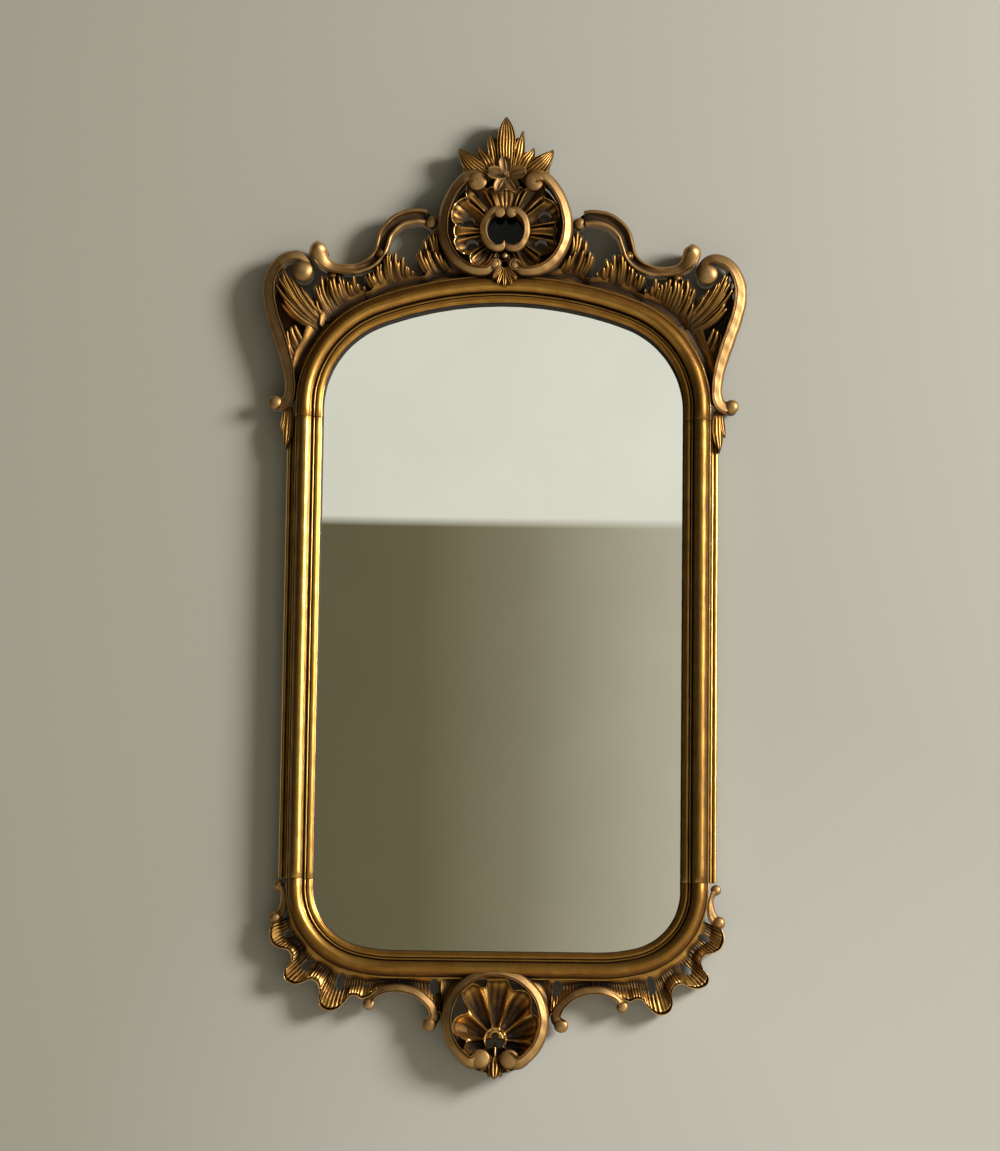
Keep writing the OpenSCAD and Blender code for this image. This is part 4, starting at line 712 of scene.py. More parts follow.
def moulding():
    line = soften(moulding_line(), 130, 0.28)
    out = line[:, 0]
    # gold is rubbed on the bead and the lip; the inner half of the half-round is made lighter and its outer
    # half darker; size lies dark in the quirks between
    proud = stand_of_line(line) + 0.16 * bump(out, 25, 4) - 0.45 * step(30, 39, out) * (out < 42.3)
    proud += 0.3 * bump(out, 14.65, 1.6) - 0.5 * bump(out, 11.3, 0.9)
    proud += -0.5 * bump(out, 18, 1.0) - 0.4 * bump(out, 42.4, 0.8)
    # painted shade: the inner face of the lip, next to the glass, is made near black for the shadow under
    # the lip and its dark reflection in the glass
    proud -= 0.9 * (1 - step(0.5, 1.6, out)) + 0.25 * bump(out, 7, 2.5)
    # two beads on the outer side of each stile
    beads = soften(np.vstack([
        [[45.6, 4], [45.6, 20], [45.9, 20]],
        arc((48.6, 20), 2.7, 180, 0, 10),
        [[51.3, 18]],
        arc((55.1, 18), 3.8, 180, 0, 12),
        [[59, 18], [59, 4]]]), 60, 0.25)
    strip_ups = np.linspace(JOINT_LOW + 1.5, JOINT_TOP + 4, 60)
    turned_work = {"made": "gilt", "slot": "gilt_moulding", "uneven": 0.12}
    for name, stations in (("head_rail", head_stations()), ("base_rail", base_stations())):
        work = Carving()
        work.strip(eased(run_of(stations, line)), proud)
        work.piece(name, moulding_gilt, **turned_work)
    for side in (-1, 1):
        work = Carving()
        work.strip(eased(run_of(stile_stations(), line)), proud)
        work.piece("stile", stile_gilt, side, **turned_work)
        work = Carving()
        work.strip(run_of(up_the_stile(strip_ups), beads), stand_of_line(beads))
        work.piece("outer_strip", stile_gilt, side, **turned_work)


# ---------------------------------------------------------------- crest
# Leaf tongues on one side: where the root stands on the arch, tip, half width, height. The line of
# a scroll is points right and up, each with half width and height.
INNER_LEAVES = [
    [126, 147, 1158, 3.2, 38], [121, 142, 1165, 2.8, 41], [117, 137, 1164, 2.8, 37],
    [112, 131, 1167, 2.8, 40], [108, 135, 1185, 3.4, 36], [104, 128, 1192, 3.2, 38],
    [99, 121, 1201, 3.4, 36], [93, 114, 1195, 3.2, 37], [98, 119, 1163, 2.6, 42],
    [92, 110, 1158, 2.6, 39], [86, 103, 1150, 2.8, 37]]
MIDDLE_LEAVES = [
    [214, 233, 1122, 3.0, 38], [210, 227, 1125, 2.6, 41], [206, 221, 1129, 2.8, 37],
    [200, 213, 1137, 3.0, 41], [195, 207, 1142, 2.6, 38], [190, 201, 1150, 2.8, 43],
    [185, 195, 1158, 2.8, 45], [180, 190, 1160, 2.6, 41], [174, 183, 1160, 3.0, 44],
    [169, 176, 1147, 2.4, 37], [162, 169, 1152, 3.2, 43], [156, 162, 1136, 2.4, 34],
    [150, 154, 1130, 2.2, 31]]
OUTER_LEAVES = [
    [294, 321, 1073, 2.4, 33], [288, 314, 1079, 2.4, 35], [284, 317, 1103, 3.0, 43],
    [279, 311, 1105, 2.6, 38], [275, 305, 1119, 3.2, 40], [271, 298, 1120, 2.8, 37],
    [267, 291, 1113, 2.8, 43], [261, 285, 1117, 3.4, 45], [256, 277, 1119, 3.2, 42],
    [251, 270, 1115, 2.6, 38], [246, 262, 1110, 2.6, 42], [242, 257, 1113, 2.5, 38],
    [238, 252, 1119, 2.7, 43], [234, 243, 1104, 2.4, 33], [228, 235, 1102, 2.4, 31]]
# the leaf inside the shoulder scroll: root, tip, half width, height
SPRAY = [
    [[322, 1036], [373, 1072], 4.6, 37], [[324, 1041], [379, 1088], 3.6, 41],
    [[326, 1046], [384, 1106], 3.6, 43], [[326, 1049], [382, 1120], 3.4, 40],
    [[325, 1051], [381, 1130], 3.6, 44], [[324, 1053], [376, 1133], 3.2, 41],
    [[322, 1055], [371, 1131], 3.4, 44], [[321, 1056], [366, 1127], 3.2, 40],
    [[319, 1058], [361, 1118], 3.2, 43], [[317, 1060], [355, 1110], 3.0, 39],
    [[315, 1061], [348, 1110], 2.8, 41], [[313, 1063], [337, 1094], 3.0, 38],
    [[310, 1064], [331, 1087], 2.6, 35], [[307, 1066], [322, 1074], 2.4, 32],
    [[333, 1002], [350, 1036], 4.2, 35], [[335, 988], [356, 1035], 4.2, 38],
    [[337, 972], [363, 1034], 4.0, 35], [[339, 956], [359, 1008], 3.8, 36],
    [[340, 942], [353, 985], 3.2, 32]]
S_LINE = [
    [133, 1220.5, 13.3, 38], [150, 1222, 14, 40], [177, 1214.8, 14, 40], [196.8, 1195, 13.5, 40],
    [204, 1174, 12.5, 40], [209, 1158, 11.5, 40], [222, 1143, 10.5, 39], [243, 1132.5, 9.5, 38],
    [268, 1130.5, 9, 37], [289, 1134, 9.5, 37], [302, 1142, 11.5, 41], [309, 1152, 14, 45],
    [312, 1162, 15.2, 48], [313, 1170, 12.5, 47], [313, 1176.5, 5, 41]]
SHOULDER_LINE = [
    [324, 1126, 6, 36], [330, 1142, 6.6, 38], [340, 1151, 7.8, 39], [353, 1153, 8.6, 40],
    [370, 1147, 9, 41], [383.5, 1131.5, 9.2, 42], [392.5, 1110, 9.9, 42], [393.5, 1084, 10.2, 42],
    [388, 1056, 10, 42], [379, 1028, 10.2, 42], [369.5, 1000, 10.2, 42], [361, 972, 9.4, 41],
    [356, 946, 8.6, 40], [355, 922, 8.8, 39], [361, 905, 10, 38], [374, 901, 11, 36]]
CART_LINE = [
    [43, 1274, 7, 48], [42, 1281, 11.5, 51], [48, 1288, 12.5, 52], [59, 1290.5, 11, 52],
    [72, 1283.5, 9, 52], [87.3, 1264.5, 8.4, 52], [99, 1238, 8.4, 52], [104.5, 1209, 8.4, 52],
    [101.5, 1180, 8.4, 52], [89, 1153, 8.4, 52], [70, 1134.5, 8.4, 52], [48, 1126, 8.4, 52],
    [28, 1126, 8, 52], [16, 1137, 8, 52]]
SHELL_EYE = 33.5  # radius of the cartouche shell's eye, which the bezel fills
# edge of the cartouche shell on one side: angle above the level, radius
SHELL_EDGE = [
    [-90, 54], [-78, 58], [-69, 61], [-65, 66], [-57, 77], [-48, 80], [-41, 77], [-37, 73], [-31, 80],
    [-22, 87], [-14, 88], [-9, 84], [-4, 86], [2, 86], [6, 84], [11, 91], [20, 95], [29, 94.5], [36, 90],
    [40, 86], [44, 93], [50, 100], [55, 98], [60, 88], [65, 76], [70, 78], [76, 76], [83, 72], [90, 70]]
# leaves of the finial: how many flutes, then the middle line with half widths and heights
FINIAL_SIDE = [
    [3, [[36, 1287, 8, 32], [52, 1293, 9, 36], [64, 1299, 7, 36], [72, 1305, 1.2, 31]]],
    [6, [[24, 1289, 11, 34], [43, 1300, 16, 40], [60, 1314, 14, 43], [72, 1328, 7.5, 39],
         [79, 1338, 1.2, 32]]],
    [3, [[20, 1292, 8, 34], [33, 1316, 9, 41], [42, 1330, 6.5, 38], [46, 1341, 1.2, 32]]],
    [2, [[14, 1294, 6, 34], [26, 1320, 6.5, 38], [34, 1334, 1.2, 32]]]]
FINIAL_CENTRE = [
    [0, 1290, 13, 34], [0, 1312, 13.5, 42], [0, 1336, 15, 45], [0, 1355, 15.5, 45], [0, 1372, 12, 43],
    [0, 1386, 6, 39], [0, 1394, 1.2, 33]]
# holes of the cartouche shell: middle, half sizes and turn
SHELL_HOLES = [
    [-62, 14.5, 11.5, 10, 2], [-55, -24, 10.5, 9, 8], [66, 25, 11, 10, -4], [60, -23, 10, 9, -12]]
# one C of the bezel round the dark glass, from its upper volute to the lower cusp, from CART_C
BEZEL_LINE = [
    [7, 29, 6, 44], [16, 34, 5.4, 45.5], [26.5, 27, 5.2, 46], [34, 16, 4.7, 46], [37.2, 1, 4.5, 46],
    [34.6, -15, 4.6, 46], [27, -27.5, 5.0, 46], [16, -33, 5.4, 45.5], [6, -31.5, 5.4, 45],
    [1.5, -26, 3.0, 44.5], [0.8, -20.5, 0.8, 43]]


def over_arch(x, out):
    """Place out mm outside the moulding, over the distance x from the middle."""
    slope = arch(x + 0.5) - arch(x - 0.5)
    return np.array([x, arch(x)]) + np.array([-slope, 1]) * out / math.hypot(slope, 1)


def out_of(p):
    """Bearing of a place from the centre of the arc that it stands over, and how far it is outside
    the glass."""
    for x, y, r, least in ((0, CROWN_Z, CROWN_R, CROWN_A), (SH_X, SH_Z, SH_R, -180)):
        bearing = math.degrees(math.atan2(p[1] - y, p[0] - x))
        if bearing > least:
            return bearing, math.hypot(p[0] - x, p[1] - y) - r


def to_cove(p):
    """Place in the cove by the shoulder, on the bearing of p."""
    away = np.array(p, float) - [SH_X, SH_Z]
    return np.array([SH_X, SH_Z]) + away * (SH_R + MOULD_W + 15) / np.linalg.norm(away)


def ground(work, x0, x1, low, tongues, share):
    """Bronzed cove outside the moulding, from x0 to x1 and above the level low, that swells into the
    body of the leaf. The body reaches this share of the way from root to tip of each tongue."""
    stations = head_stations()
    edge = stations[:, :2] + stations[:, 2:] * MOULD_W
    stations = stations[(edge[:, 0] > x0) & (edge[:, 0] < x1) & (edge[:, 1] > low)]
    cove, least = 16.2, 60  # width of the drawn section, and how far out it is stretched at least
    line = soften([[0, 14], [0, 28], [1.5, 28.5], [3.0, 25], [5.0, 23], [7.2, 23.5], [10, 26], [13, 28.5],
                   [15.4, 30], [cove, 27.5], [cove, 14]], 34, 0.4)
    bearings, reaches = np.array(sorted(out_of(lerp(root, tip, share)) for root, tip in tongues)).T
    bearing = np.degrees(np.arctan2(stations[:, 3], stations[:, 2]))
    reach = np.interp(bearing, bearings, reaches, left=least + 1, right=least + 1)
    seat = MOULD_W + 0.2
    wide = (np.maximum(reach, least) - seat) / cove
    grid = np.empty((len(stations), len(line), 3))
    out = seat + wide[:, None] * line[None, :, 0]
    grid[..., :2] = stations[:, None, :2] + stations[:, None, 2:] * out[..., None]
    grid[..., 2] = line[:, 1]
    # painted shade: the outer edge of the cove, under the flames, is darkened
    work.strip(grid, np.clip(stand_of_line(line), 0, 0.45) - 0.25 * step(12, 16, line[:, 0]), seed=40)


def leaf_group(name, leaves, x0, x1, side, *curls):
    """Flames of leaf that spring from the cove in one mass, and curls that tie them to the scroll."""
    work = Carving()
    tongues = [[over_arch(root, 16), np.array(tip)] for root, *tip, hw, h in leaves]
    ground(work, x0, x1, 940, tongues, 0.34)
    for k, ((root, tip), (*_, hw, h)) in enumerate(zip(tongues, leaves)):
        flame(work, root, tip, hw, h + 1.5 * math.sin(2.3 * k), 0.16 + 0.09 * math.sin(2.1 * k))
    for (root, tip), (next_root, next_tip), leaf in zip(tongues, tongues[1:], leaves):  # the lap behind
        root = (root + next_root) / 2
        flame(work, root, lerp(root, (tip + next_tip) / 2, 0.76), 3.4, leaf[-1] - 4.5)
    for c, r, h in curls:
        boss(work, c, r, BOARD_T, h, roll=1.6, flat=0.7, turn=0.3)
    work.piece(name, carving_gilt, side)


def shoulder_spray(side):
    """The leaf inside the shoulder scroll, which springs from the cove."""
    work = Carving()
    tongues = [[to_cove(root), np.array(tip, float)] for root, tip, hw, h in SPRAY]
    ground(work, 288, math.inf, 930, tongues, 0.26)
    for k, ((root, tip), (*_, hw, h)) in enumerate(zip(tongues, SPRAY)):
        tip = lerp(root, tip, 1 - 0.11 * (k % 3 == 1) - 0.04 * (k % 2))
        hw *= 0.72 + 0.16 * (k % 2)
        flame(work, root, tip, hw, h + 2 * math.sin(2.9 * k), 0.16 + 0.05 * math.sin(1.7 * k))
    for (root, tip), (next_root, next_tip), leaf in zip(tongues, tongues[1:], SPRAY):  # the lap behind
        if math.dist(tip, next_tip) < 60:
            root = (root + next_root) / 2
            flame(work, root, lerp(root, (tip + next_tip) / 2, 0.84), 4.4, leaf[-1] - 5, 0.14, 24)
    work.piece("shoulder_spray", carving_gilt, side)


def s_scroll(side):
    """Hollow at the cartouche, then flat, and a plain roll where it curls up."""
    work = Carving()
    line = spline(S_LINE, 8)
    even = [section[np.linspace(0, len(section) - 1, len(DOME)).round().astype(int)]
            for section in (CHANNEL, BROAD, DOME)]
    hollow, flat, round_end = (sweep(line, section, BOARD_T) for section in even)
    f = np.linspace(0, 1, len(line))[:, None]
    fill, swell = step(0.40, 0.62, f), step(0.66, 0.86, f)
    proud = lerp(lerp(proud_of(even[0][:, 1], 0.5)[None], 0.7, fill), 0.85, swell)
    work.strip(lerp(lerp(hollow, flat, fill[..., None]), round_end, swell[..., None]), proud)
    boss(work, (124, 1212), 10.5, BOARD_T, 27, flat=0.7)
    work.piece("s_scroll", scroll_gilt, side)


def crest_side(side):
    work = Carving()
    scroll(work, spline(CART_LINE, 8))
    boss(work, (47.5, 1279), 15.5, BOARD_T, 49, flat=0.2)
    boss(work, (16.5, 1138), 11.5, BOARD_T, 45, roll=1.2, flat=0.6, turn=0.7, hand=-1)
    work.piece("cartouche_scroll", scroll_gilt, side)

    s_scroll(side)

    work = Carving()
    scroll(work, spline(SHOULDER_LINE, 7))
    boss(work, (338, 1126), 18, BOARD_T, 35, flat=0.5)
    boss(work, (379, 903), 12, BOARD_T, 30, flat=0.55)
    work.piece("shoulder_scroll", scroll_gilt, side)

    leaf_group("leaf_inner", INNER_LEAVES, 60, 140, side)
    leaf_group("leaf_middle", MIDDLE_LEAVES, 126, 232, side, ((207, 1157), 8, 31))
    leaf_group("leaf_outer", OUTER_LEAVES, 220, 300, side, ((288, 1121), 8.5, 25))
    shoulder_spray(side)

    work = Carving()
    blade = blade_section(3, 0.14)
    for a, b, bow, hw, h in (([356, 896], [360, 826], 0.04, 9, 34), ([352, 892], [349, 842], -0.1, 6, 31),
                             ([362, 892], [369, 852], 0.12, 6, 31)):
        finger(work, a, b, bow, hw, 29, h, blade, base=18, point=True)
    work.piece("shoulder_drop", carving_gilt, side)

    work = Carving()
    for flutes, points in FINIAL_SIDE:
        leaf_blade(work, points, flutes)
    work.piece("finial_side", carving_gilt, side)


def above_level(angle):
    """Degrees above the level, the same on both sides."""
    return 90 - np.abs((np.degrees(angle) + 90) % 360 - 180)


def shell_height(angle, f, away):
    """Cupped lobes round the cartouche glass, parted by deep cuts and run with fine flutes."""
    up = above_level(angle)
    grow = np.sin(np.pi * np.clip(f, 0, 0.94) / 0.94) ** 0.6
    h = lerp(25.5, 32.5, f * f)
    for at, wide in ((66, 1.7), (40, 1.6), (7.5, 1.4), (-8.5, 1.4), (-38, 1.6), (-66, 1.7)):
        h = h + grow * (5.2 * (bump(up, at + 3.6, 2.3) + bump(up, at - 3.6, 2.3)) - 8.0 * bump(up, at, wide))
    scoops = 7.5 * bump(up, 22, 9.5) + 7.0 * bump(up, -23, 9)
    scoops = scoops + 4.5 * bump(up, -52, 8) + 4.0 * bump(up, 55, 6)
    h = h - scoops * np.sin(np.pi * f) + 3.6 * bump(up, -0.5, 3.4) * grow
    pitch = np.where(up > 41, 8.6, 7.6)
    flute = np.abs(np.cos(np.pi * (up - 41 + 2.0 * np.sin(3 * f)) / pitch)) ** 0.7 - 0.55
    lobes = np.abs(up - 22) > 12
    deep = np.where(lobes, 2.0, 0.8) * step(0.05, 0.5, f) + np.where(lobes, 0.0, 1.8) * step(0.55, 0.85, f)
    h = h + deep * flute * (np.abs(up + 0.5) > 7)
    laps = 4.5 * step(34, 44, up) - 5.0 * step(63, 69, up) + 2.5 * step(-34, -40, up)
    return h + laps * f + 3.6 * (1 - step(1.2, 2.6, away))


def cartouche():
    angle = np.linspace(0, 2 * math.pi, 400, endpoint=False)
    f = np.r_[np.linspace(0, 0.86, 20), np.linspace(0.88, 1, 10)]
    edge = spline(SHELL_EDGE, 6)
    reach = np.interp(above_level(angle), edge[:, 0], edge[:, 1])[:, None]
    way = np.stack([np.cos(angle), np.sin(angle)], 1)
    away = (1 - f[None]) * (reach - SHELL_EYE)
    height = shell_height(angle[:, None], f[None], away)
    proud = np.clip(stand(height, True) - 0.1 + 0.6 * (1 - step(1.0, 2.2, away)), -0.3, 1)
    work = Carving()
    patch(work, CART_C + way * SHELL_EYE, CART_C + way * reach, height, f, BOARD_T, True, proud)
    shell = work.piece("cartouche_shell", carving_gilt)
    pierce(shell, [oval(CART_C + [x, y], rx, ry, turn) for x, y, rx, ry, turn in SHELL_HOLES])

    work = Carving()
    for m in (-1, 1):
        scroll(work, spline(BEZEL_LINE, 8) * [m, 1, 1, 1] + [*CART_C, 0, 0], 36, BROAD * [m, 1])
        boss(work, CART_C + [9.6 * m, 28], 8.6, 36, 40, flat=0.14)
    # setting behind the cusps, down to the board
    radii, heights = np.array([[30.5, 14], [30.5, 38], [33.3, 39], [33.8, 36], [33.8, 14]]).T
    work.strip(turned(CART_C, radii, heights, 72, 0.97), 0.3, closed=True)
    boss(work, CART_C + [0, -46.5], 5, BOARD_T, 44)
    work.piece("cartouche_bezel", scroll_gilt)

    work = Carving()
    knot, blade = [0, 1137], blade_section(3, 0.18)
    for way, length, hw, h in ((-90, 40, 6.2, 59), (-72, 38, 5.6, 57.5), (-108, 38, 5.6, 57.5),
                               (-53, 33, 5.2, 56), (-127, 33, 5.2, 56)):
        d = pointing(way)
        finger(work, d * 6 + knot, d * length + knot, 0, hw, 50, h, blade, 0.22, 38)
    work.piece("cartouche_drop", carving_gilt)


def finial():
    work = Carving()
    for m, top in ((-1, 1366), (1, 1370)):
        leaf_blade(work, [[12 * m, 1296, 9, 32], [19 * m, 1320, 9, 38], [24 * m, 1345, 7.5, 39],
                          [28 * m, top, 1.2, 32]], 3)
    leaf_blade(work, FINIAL_CENTRE, 6, 0.17)
    work.piece("finial_leaf", carving_gilt)

    work = Carving()
    for way, length, hw in ((97, 32, 8.8), (12, 35, 9.8), (172, 34, 9.2), (-60, 36, 9), (-118, 36, 9)):
        d = pointing(way)
        finger(work, FLOWER_C + d * 3, FLOWER_C + d * length, 0, hw * 1.1, 54, 61.5, PETAL, 0.36, 50)
    boss(work, FLOWER_C, 13, BOARD_T, 42)
    work.piece("flower", scroll_gilt)

    work = Carving()
    boss(work, FLOWER_C, 5, 57.6, 60)
    work.piece("flower_button", scroll_gilt)


# ---------------------------------------------------------------- apron
# scrolls of the apron, the one under the base and the one beside the corner
APRON_LINE = [
    [108, -118, 9.5, 32], [98.5, -107, 8.8, 34], [103, -91, 8.0, 35], [116, -77, 7.6, 36],
    [134, -66, 7.4, 36], [156, -61, 7.4, 36], [180, -63, 7.2, 36], [198, -71, 7.0, 34],
    [208, -84, 7.0, 32]]
SIDE_LINE = [
    [355, 101, 5.5, 30], [350, 90, 4, 29], [349, 76, 5.6, 28], [351.5, 62, 7.6, 27], [360, 51, 8.5, 26]]
# lobes of the apron shell: angle of each parting, then its edge as angle and radius
SHELL_PARTS = [[-42, 0], [-4, 1], [36, 2], [71, 3], [103, 4], [135, 5], [180, 6], [222, 7]]
APRON_EDGE = [
    [-42, 50], [-30, 52], [-14, 60], [-4, 64], [8, 70], [20, 79], [28, 78], [36, 74.5], [42, 78],
    [49, 89], [56, 92], [62, 90], [67, 86.5], [71, 85.5], [76, 92], [81, 102], [87, 110], [94, 110],
    [98, 98], [100, 88], [105, 86], [110, 94], [117, 100], [124, 95], [129, 84], [132, 67], [137, 62],
    [145, 67], [153, 72], [163, 73], [172, 68], [178, 56], [184, 46], [192, 50], [204, 56], [214, 54],
    [222, 50]]
# scalloped outer edge of the fringe, from the ring round the corner
FRINGE_EDGE = [
    [86, -104], [97, -96], [110, -84], [126, -72], [146, -62.5], [168, -60], [190, -66], [206, -76],
    [218, -80], [227, -76], [238, -77], [247, -87], [258, -97], [272, -100], [284, -94], [288, -82],
    [286.5, -68], [292, -55], [304, -50], [318, -56], [332, -57], [344, -50], [346, -38], [338, -26],
    [334, -14], [340, -3], [354, 1], [366, 8], [371, 22], [368, 38], [357, 45]]
# holes of the fringe: middle, half sizes and turn
FRINGE_HOLES = [
    [100, -59, 8, 13, 0], [253, -52, 7.5, 14, 12], [309, -26, 6.5, 11, 48], [338, 25, 5.5, 10, 70]]
TREFOIL = [[0, 4, 6, 6.5], [-8.5, -5, 7.5, 7], [8.5, -5, 7.5, 7]]  # holes by their middle and half sizes
APRON_BACK = 4.0  # back of the fringe and of its scrolls
FLUTE = 6.2  # from one flute of the fringe to the next
# end of the ring where it rolls in under the shell, from RING_C
RING_TAIL = [
    [12.5, -54, 5, 43], [14.5, -58.5, 11, 45], [21, -63, 14.5, 47.5], [30, -66, 12.5, 49.5],
    [42, -67.5, 9.2, 51]]


def frame_foot(p):
    """Nearest place on the outer edge of the moulding, for a point outside a lower corner."""
    s = MOULD_W + 0.25
    if p[0] < EASE_X:
        return [p[0], -s]
    if p[1] > TOE_Z and p[0] > TOE_X:
        return [HALF + s, p[1]]
    for x, y, r, most in ((TOE_X, TOE_Z, TOE_R, TOE_A), (EASE_X, EASE_R, EASE_R, -180)):
        way = math.atan2(p[1] - y, p[0] - x)
        if math.degrees(way) > most:
            return [x + (r + s) * math.cos(way), y + (r + s) * math.sin(way)]


def fringe(side):
    edge = spline(FRINGE_EDGE, 11)
    foot = np.array([frame_foot(p) for p in edge])
    f = np.r_[np.linspace(0, 0.88, 22), np.linspace(0.90, 1, 9)]
    run = lengths(edge)[:, None]
    wide = np.linalg.norm(edge - foot, axis=1)[:, None]
    near = np.exp(-0.5 * ((run - run.T) / 17) ** 2)
    bell = wide - near @ wide / near.sum(1)[:, None]  # how far a scallop reaches out past its neighbours
    level = np.interp(f, [0, 0.2, 0.45, 0.7, 0.9, 1], [30, 22, 20, 26, 29, 27])[None]
    swing = 1.5 * np.sin(run / 23) + 0.8 * np.sin(run / 9.1) + 1.6 * np.sin(run / 31 + 1) * f[None] ** 1.5
    flute = np.abs(np.sin(np.pi * run / FLUTE + swing)) ** 0.75 - 0.6
    flute = flute * (0.75 + 0.45 * np.sin(run / FLUTE))
    away = (1 - f[None]) * wide
    height = level + 2.6 * flute * step(0.02, 0.25, f)[None] * step(0.0, 5.0, away)
    height = height - 0.62 * bell * step(0.3, 0.85, f)[None]
    height = height + 3.4 * (1 - step(1.2, 2.6, away)) - 2.2 * bump(away, 3.8, 1.0)
    proud = stand(height, gain=0.28) + 0.8 * (1 - step(1.1, 2.4, away)) - 0.5 * bump(away, 3.8, 1.2)
    proud = np.clip(proud - 0.25 * (1 - step(0, 0.35, f))[None], -0.4, 1)
    work = Carving()
    patch(work, foot, edge, np.clip(height, 8, 31.5), f, APRON_BACK, proud=proud)
    # the field goes on to the ring, as a shallow hollow
    ups = np.linspace(-MOULD_W - 0.3, -104, 60)
    by_ring = np.sqrt((RING_R + RING_HW + 0.1) ** 2 - (ups - RING_C[1]) ** 2)
    f = np.linspace(0, 1, 10)
    level = 29 - 3.5 * np.sin(np.pi * f)[None] * np.ones((len(ups), 1))
    patch(work, np.column_stack([by_ring, ups]), np.column_stack([np.full(len(ups), 88.5), ups]), level, f,
          APRON_BACK)
    made = work.piece("fringe", carving_gilt, side)
    pierce(made, [oval((side * x, y), rx, ry, side * turn) for x, y, rx, ry, turn in FRINGE_HOLES])

    work = Carving()
    scroll(work, spline(APRON_LINE, 8), APRON_BACK)
    boss(work, (206, -88), 9.5, 6, 28, flat=0.5)
    boss(work, (107, -119), 11.5, 6, 28, flat=0.5)
    work.piece("apron_scroll", scroll_gilt, side)

    work = Carving()
    scroll(work, spline(SIDE_LINE, 8), APRON_BACK)
    boss(work, (357, 103.5), 8.6, 6, 22, flat=0.6)
    boss(work, (362, 50), 10.5, 6, 22, flat=0.7)
    work.piece("side_scroll", scroll_gilt, side)


def apron_ring():
    tail = np.array(RING_TAIL)
    ring = arc((0, 0), RING_R, -38, 218, 18)
    ring = np.column_stack([ring, np.full((len(ring), 2), [RING_HW, RING_H])])
    line = np.vstack([tail, ring, (tail * [-1, 1, 1, 1])[::-1]]) + [*RING_C, 0, 0]
    work = Carving()
    scroll(work, spline(line, 6), section=BROAD * [-1, 1])
    for m in (-1, 1):
        boss(work, RING_C + [23.5 * m, -61.5], 15.5, BOARD_T, 44, flat=0.26)
    work.piece("apron_ring", scroll_gilt)


def apron_shell():
    """Scooped lobes fanned over 264 degrees, parted by ribs that meet at a pierced trefoil."""
    angle = np.linspace(-42, 222, 240)
    u = np.interp(angle, *np.array(SHELL_PARTS, float).T)
    part = u % 1  # 0 and 1 on a rib, 0.5 in the middle of a lobe
    rad = np.radians(angle)
    inside = RING_R - RING_HW - 0.5
    drop = RING_C[1] - SHELL_C[1]
    reach = drop * np.sin(rad) + np.sqrt((drop * np.sin(rad)) ** 2 - drop**2 + inside**2)
    reach = np.minimum(reach, 96.0 / np.maximum(0.1, np.sin(rad)))
    edge = spline(APRON_EDGE, 5)
    rim = np.minimum(reach, np.interp(angle, edge[:, 0], edge[:, 1]))[:, None]
    f = np.r_[np.linspace(0, 0.90, 38), np.linspace(0.915, 1, 9)]
    hub, collar = 2.0, 18.5
    out = lerp(hub, rim, f[None])
    away = rim - out
    g = np.clip((out - collar) / (rim - collar), 0, 1)  # along a lobe, from the collar to its rim
    along = np.sin(np.pi * g**0.8)
    scoop = np.sin(np.pi * part)[:, None] ** 0.8
    rib = (bump(part, 0, 0.16) + bump(part, 1, 0.16))[:, None]
    rib = rib * (0.8 + 0.2 * np.cos(3 * rad))[:, None]
    vein = (np.abs(np.sin(np.pi * u[:, None] * 4 + 0.5 * np.sin(4 * g + u[:, None]))) ** 0.7) - 0.6
    height = lerp(22, 34, g * g) - 12.5 * scoop * along + 7.0 * rib * along**0.5
    height = height + 1.7 * vein * step(0.15, 0.4, g)
    height = height + 4.5 * (1 - step(collar - 1, collar + 2.5, out)) - 2.5 * bump(out, 14.8, 1.1)
    height = height + 4.2 * (1 - step(1.1, 2.6, away))
    proud = stand(height) - 0.08 + 0.70 * rib * along**0.5
    proud = np.clip(proud + 0.9 * (1 - step(1.0, 2.6, away)) + 0.2 * (out < collar), -0.3, 1)
    way = np.stack([np.cos(rad), np.sin(rad)], 1)
    work = Carving()
    patch(work, SHELL_C + way * hub, SHELL_C + way * rim, np.clip(height, 15, 45), f, BOARD_T, proud=proud)
    shell = work.piece("apron_shell", carving_gilt)
    for x, y, rx, ry in TREFOIL:
        pierce(shell, [oval(SHELL_C + [x, y], rx, ry)])


def apron_pendant():
    work = Carving()
    blade = blade_section(3, 0.15)
    for a, b, bow, hw, h in (([0, -58], [0, -95], 0, 10.5, 47), ([-3, -60], [-21, -84], 0.25, 9, 41),
                             ([3, -60], [23, -84], -0.25, 9, 41), ([0, -72], [-9, -92], 0.2, 6, 37),
                             ([0, -72], [10, -91], -0.2, 6, 37)):
        finger(work, RING_C + a, RING_C + b, bow, hw, 36, h, blade, point=True)
    stem = np.array([[0, -43, 3.7, 34], [0, -55, 3.8, 37], [0, -68, 3.7, 38]]) + [*RING_C, 0, 0]
    work.strip(sweep(spline(stem, 5), FINGER, BOARD_T), proud_of(FINGER[:, 1], 0.5))
    work.piece("apron_pendant", carving_gilt)


moulding()
cartouche()
finial()
for side in (-1, 1):
    crest_side(side)
    fringe(side)
apron_ring()
apron_shell()
apron_pendant()


# ---------------------------------------------------------------- room
def card(name, finish, *corners):
    """Flat surface of the room, which is no part of the object."""
    mesh = bpy.data.meshes.new(name)
    mesh.from_pydata(corners, [], [[0, 1, 2, 3]])
    mesh.materials.append(finish)
    made = bpy.data.objects.new(name, mesh)
    bpy.context.scene.collection.objects.link(made)


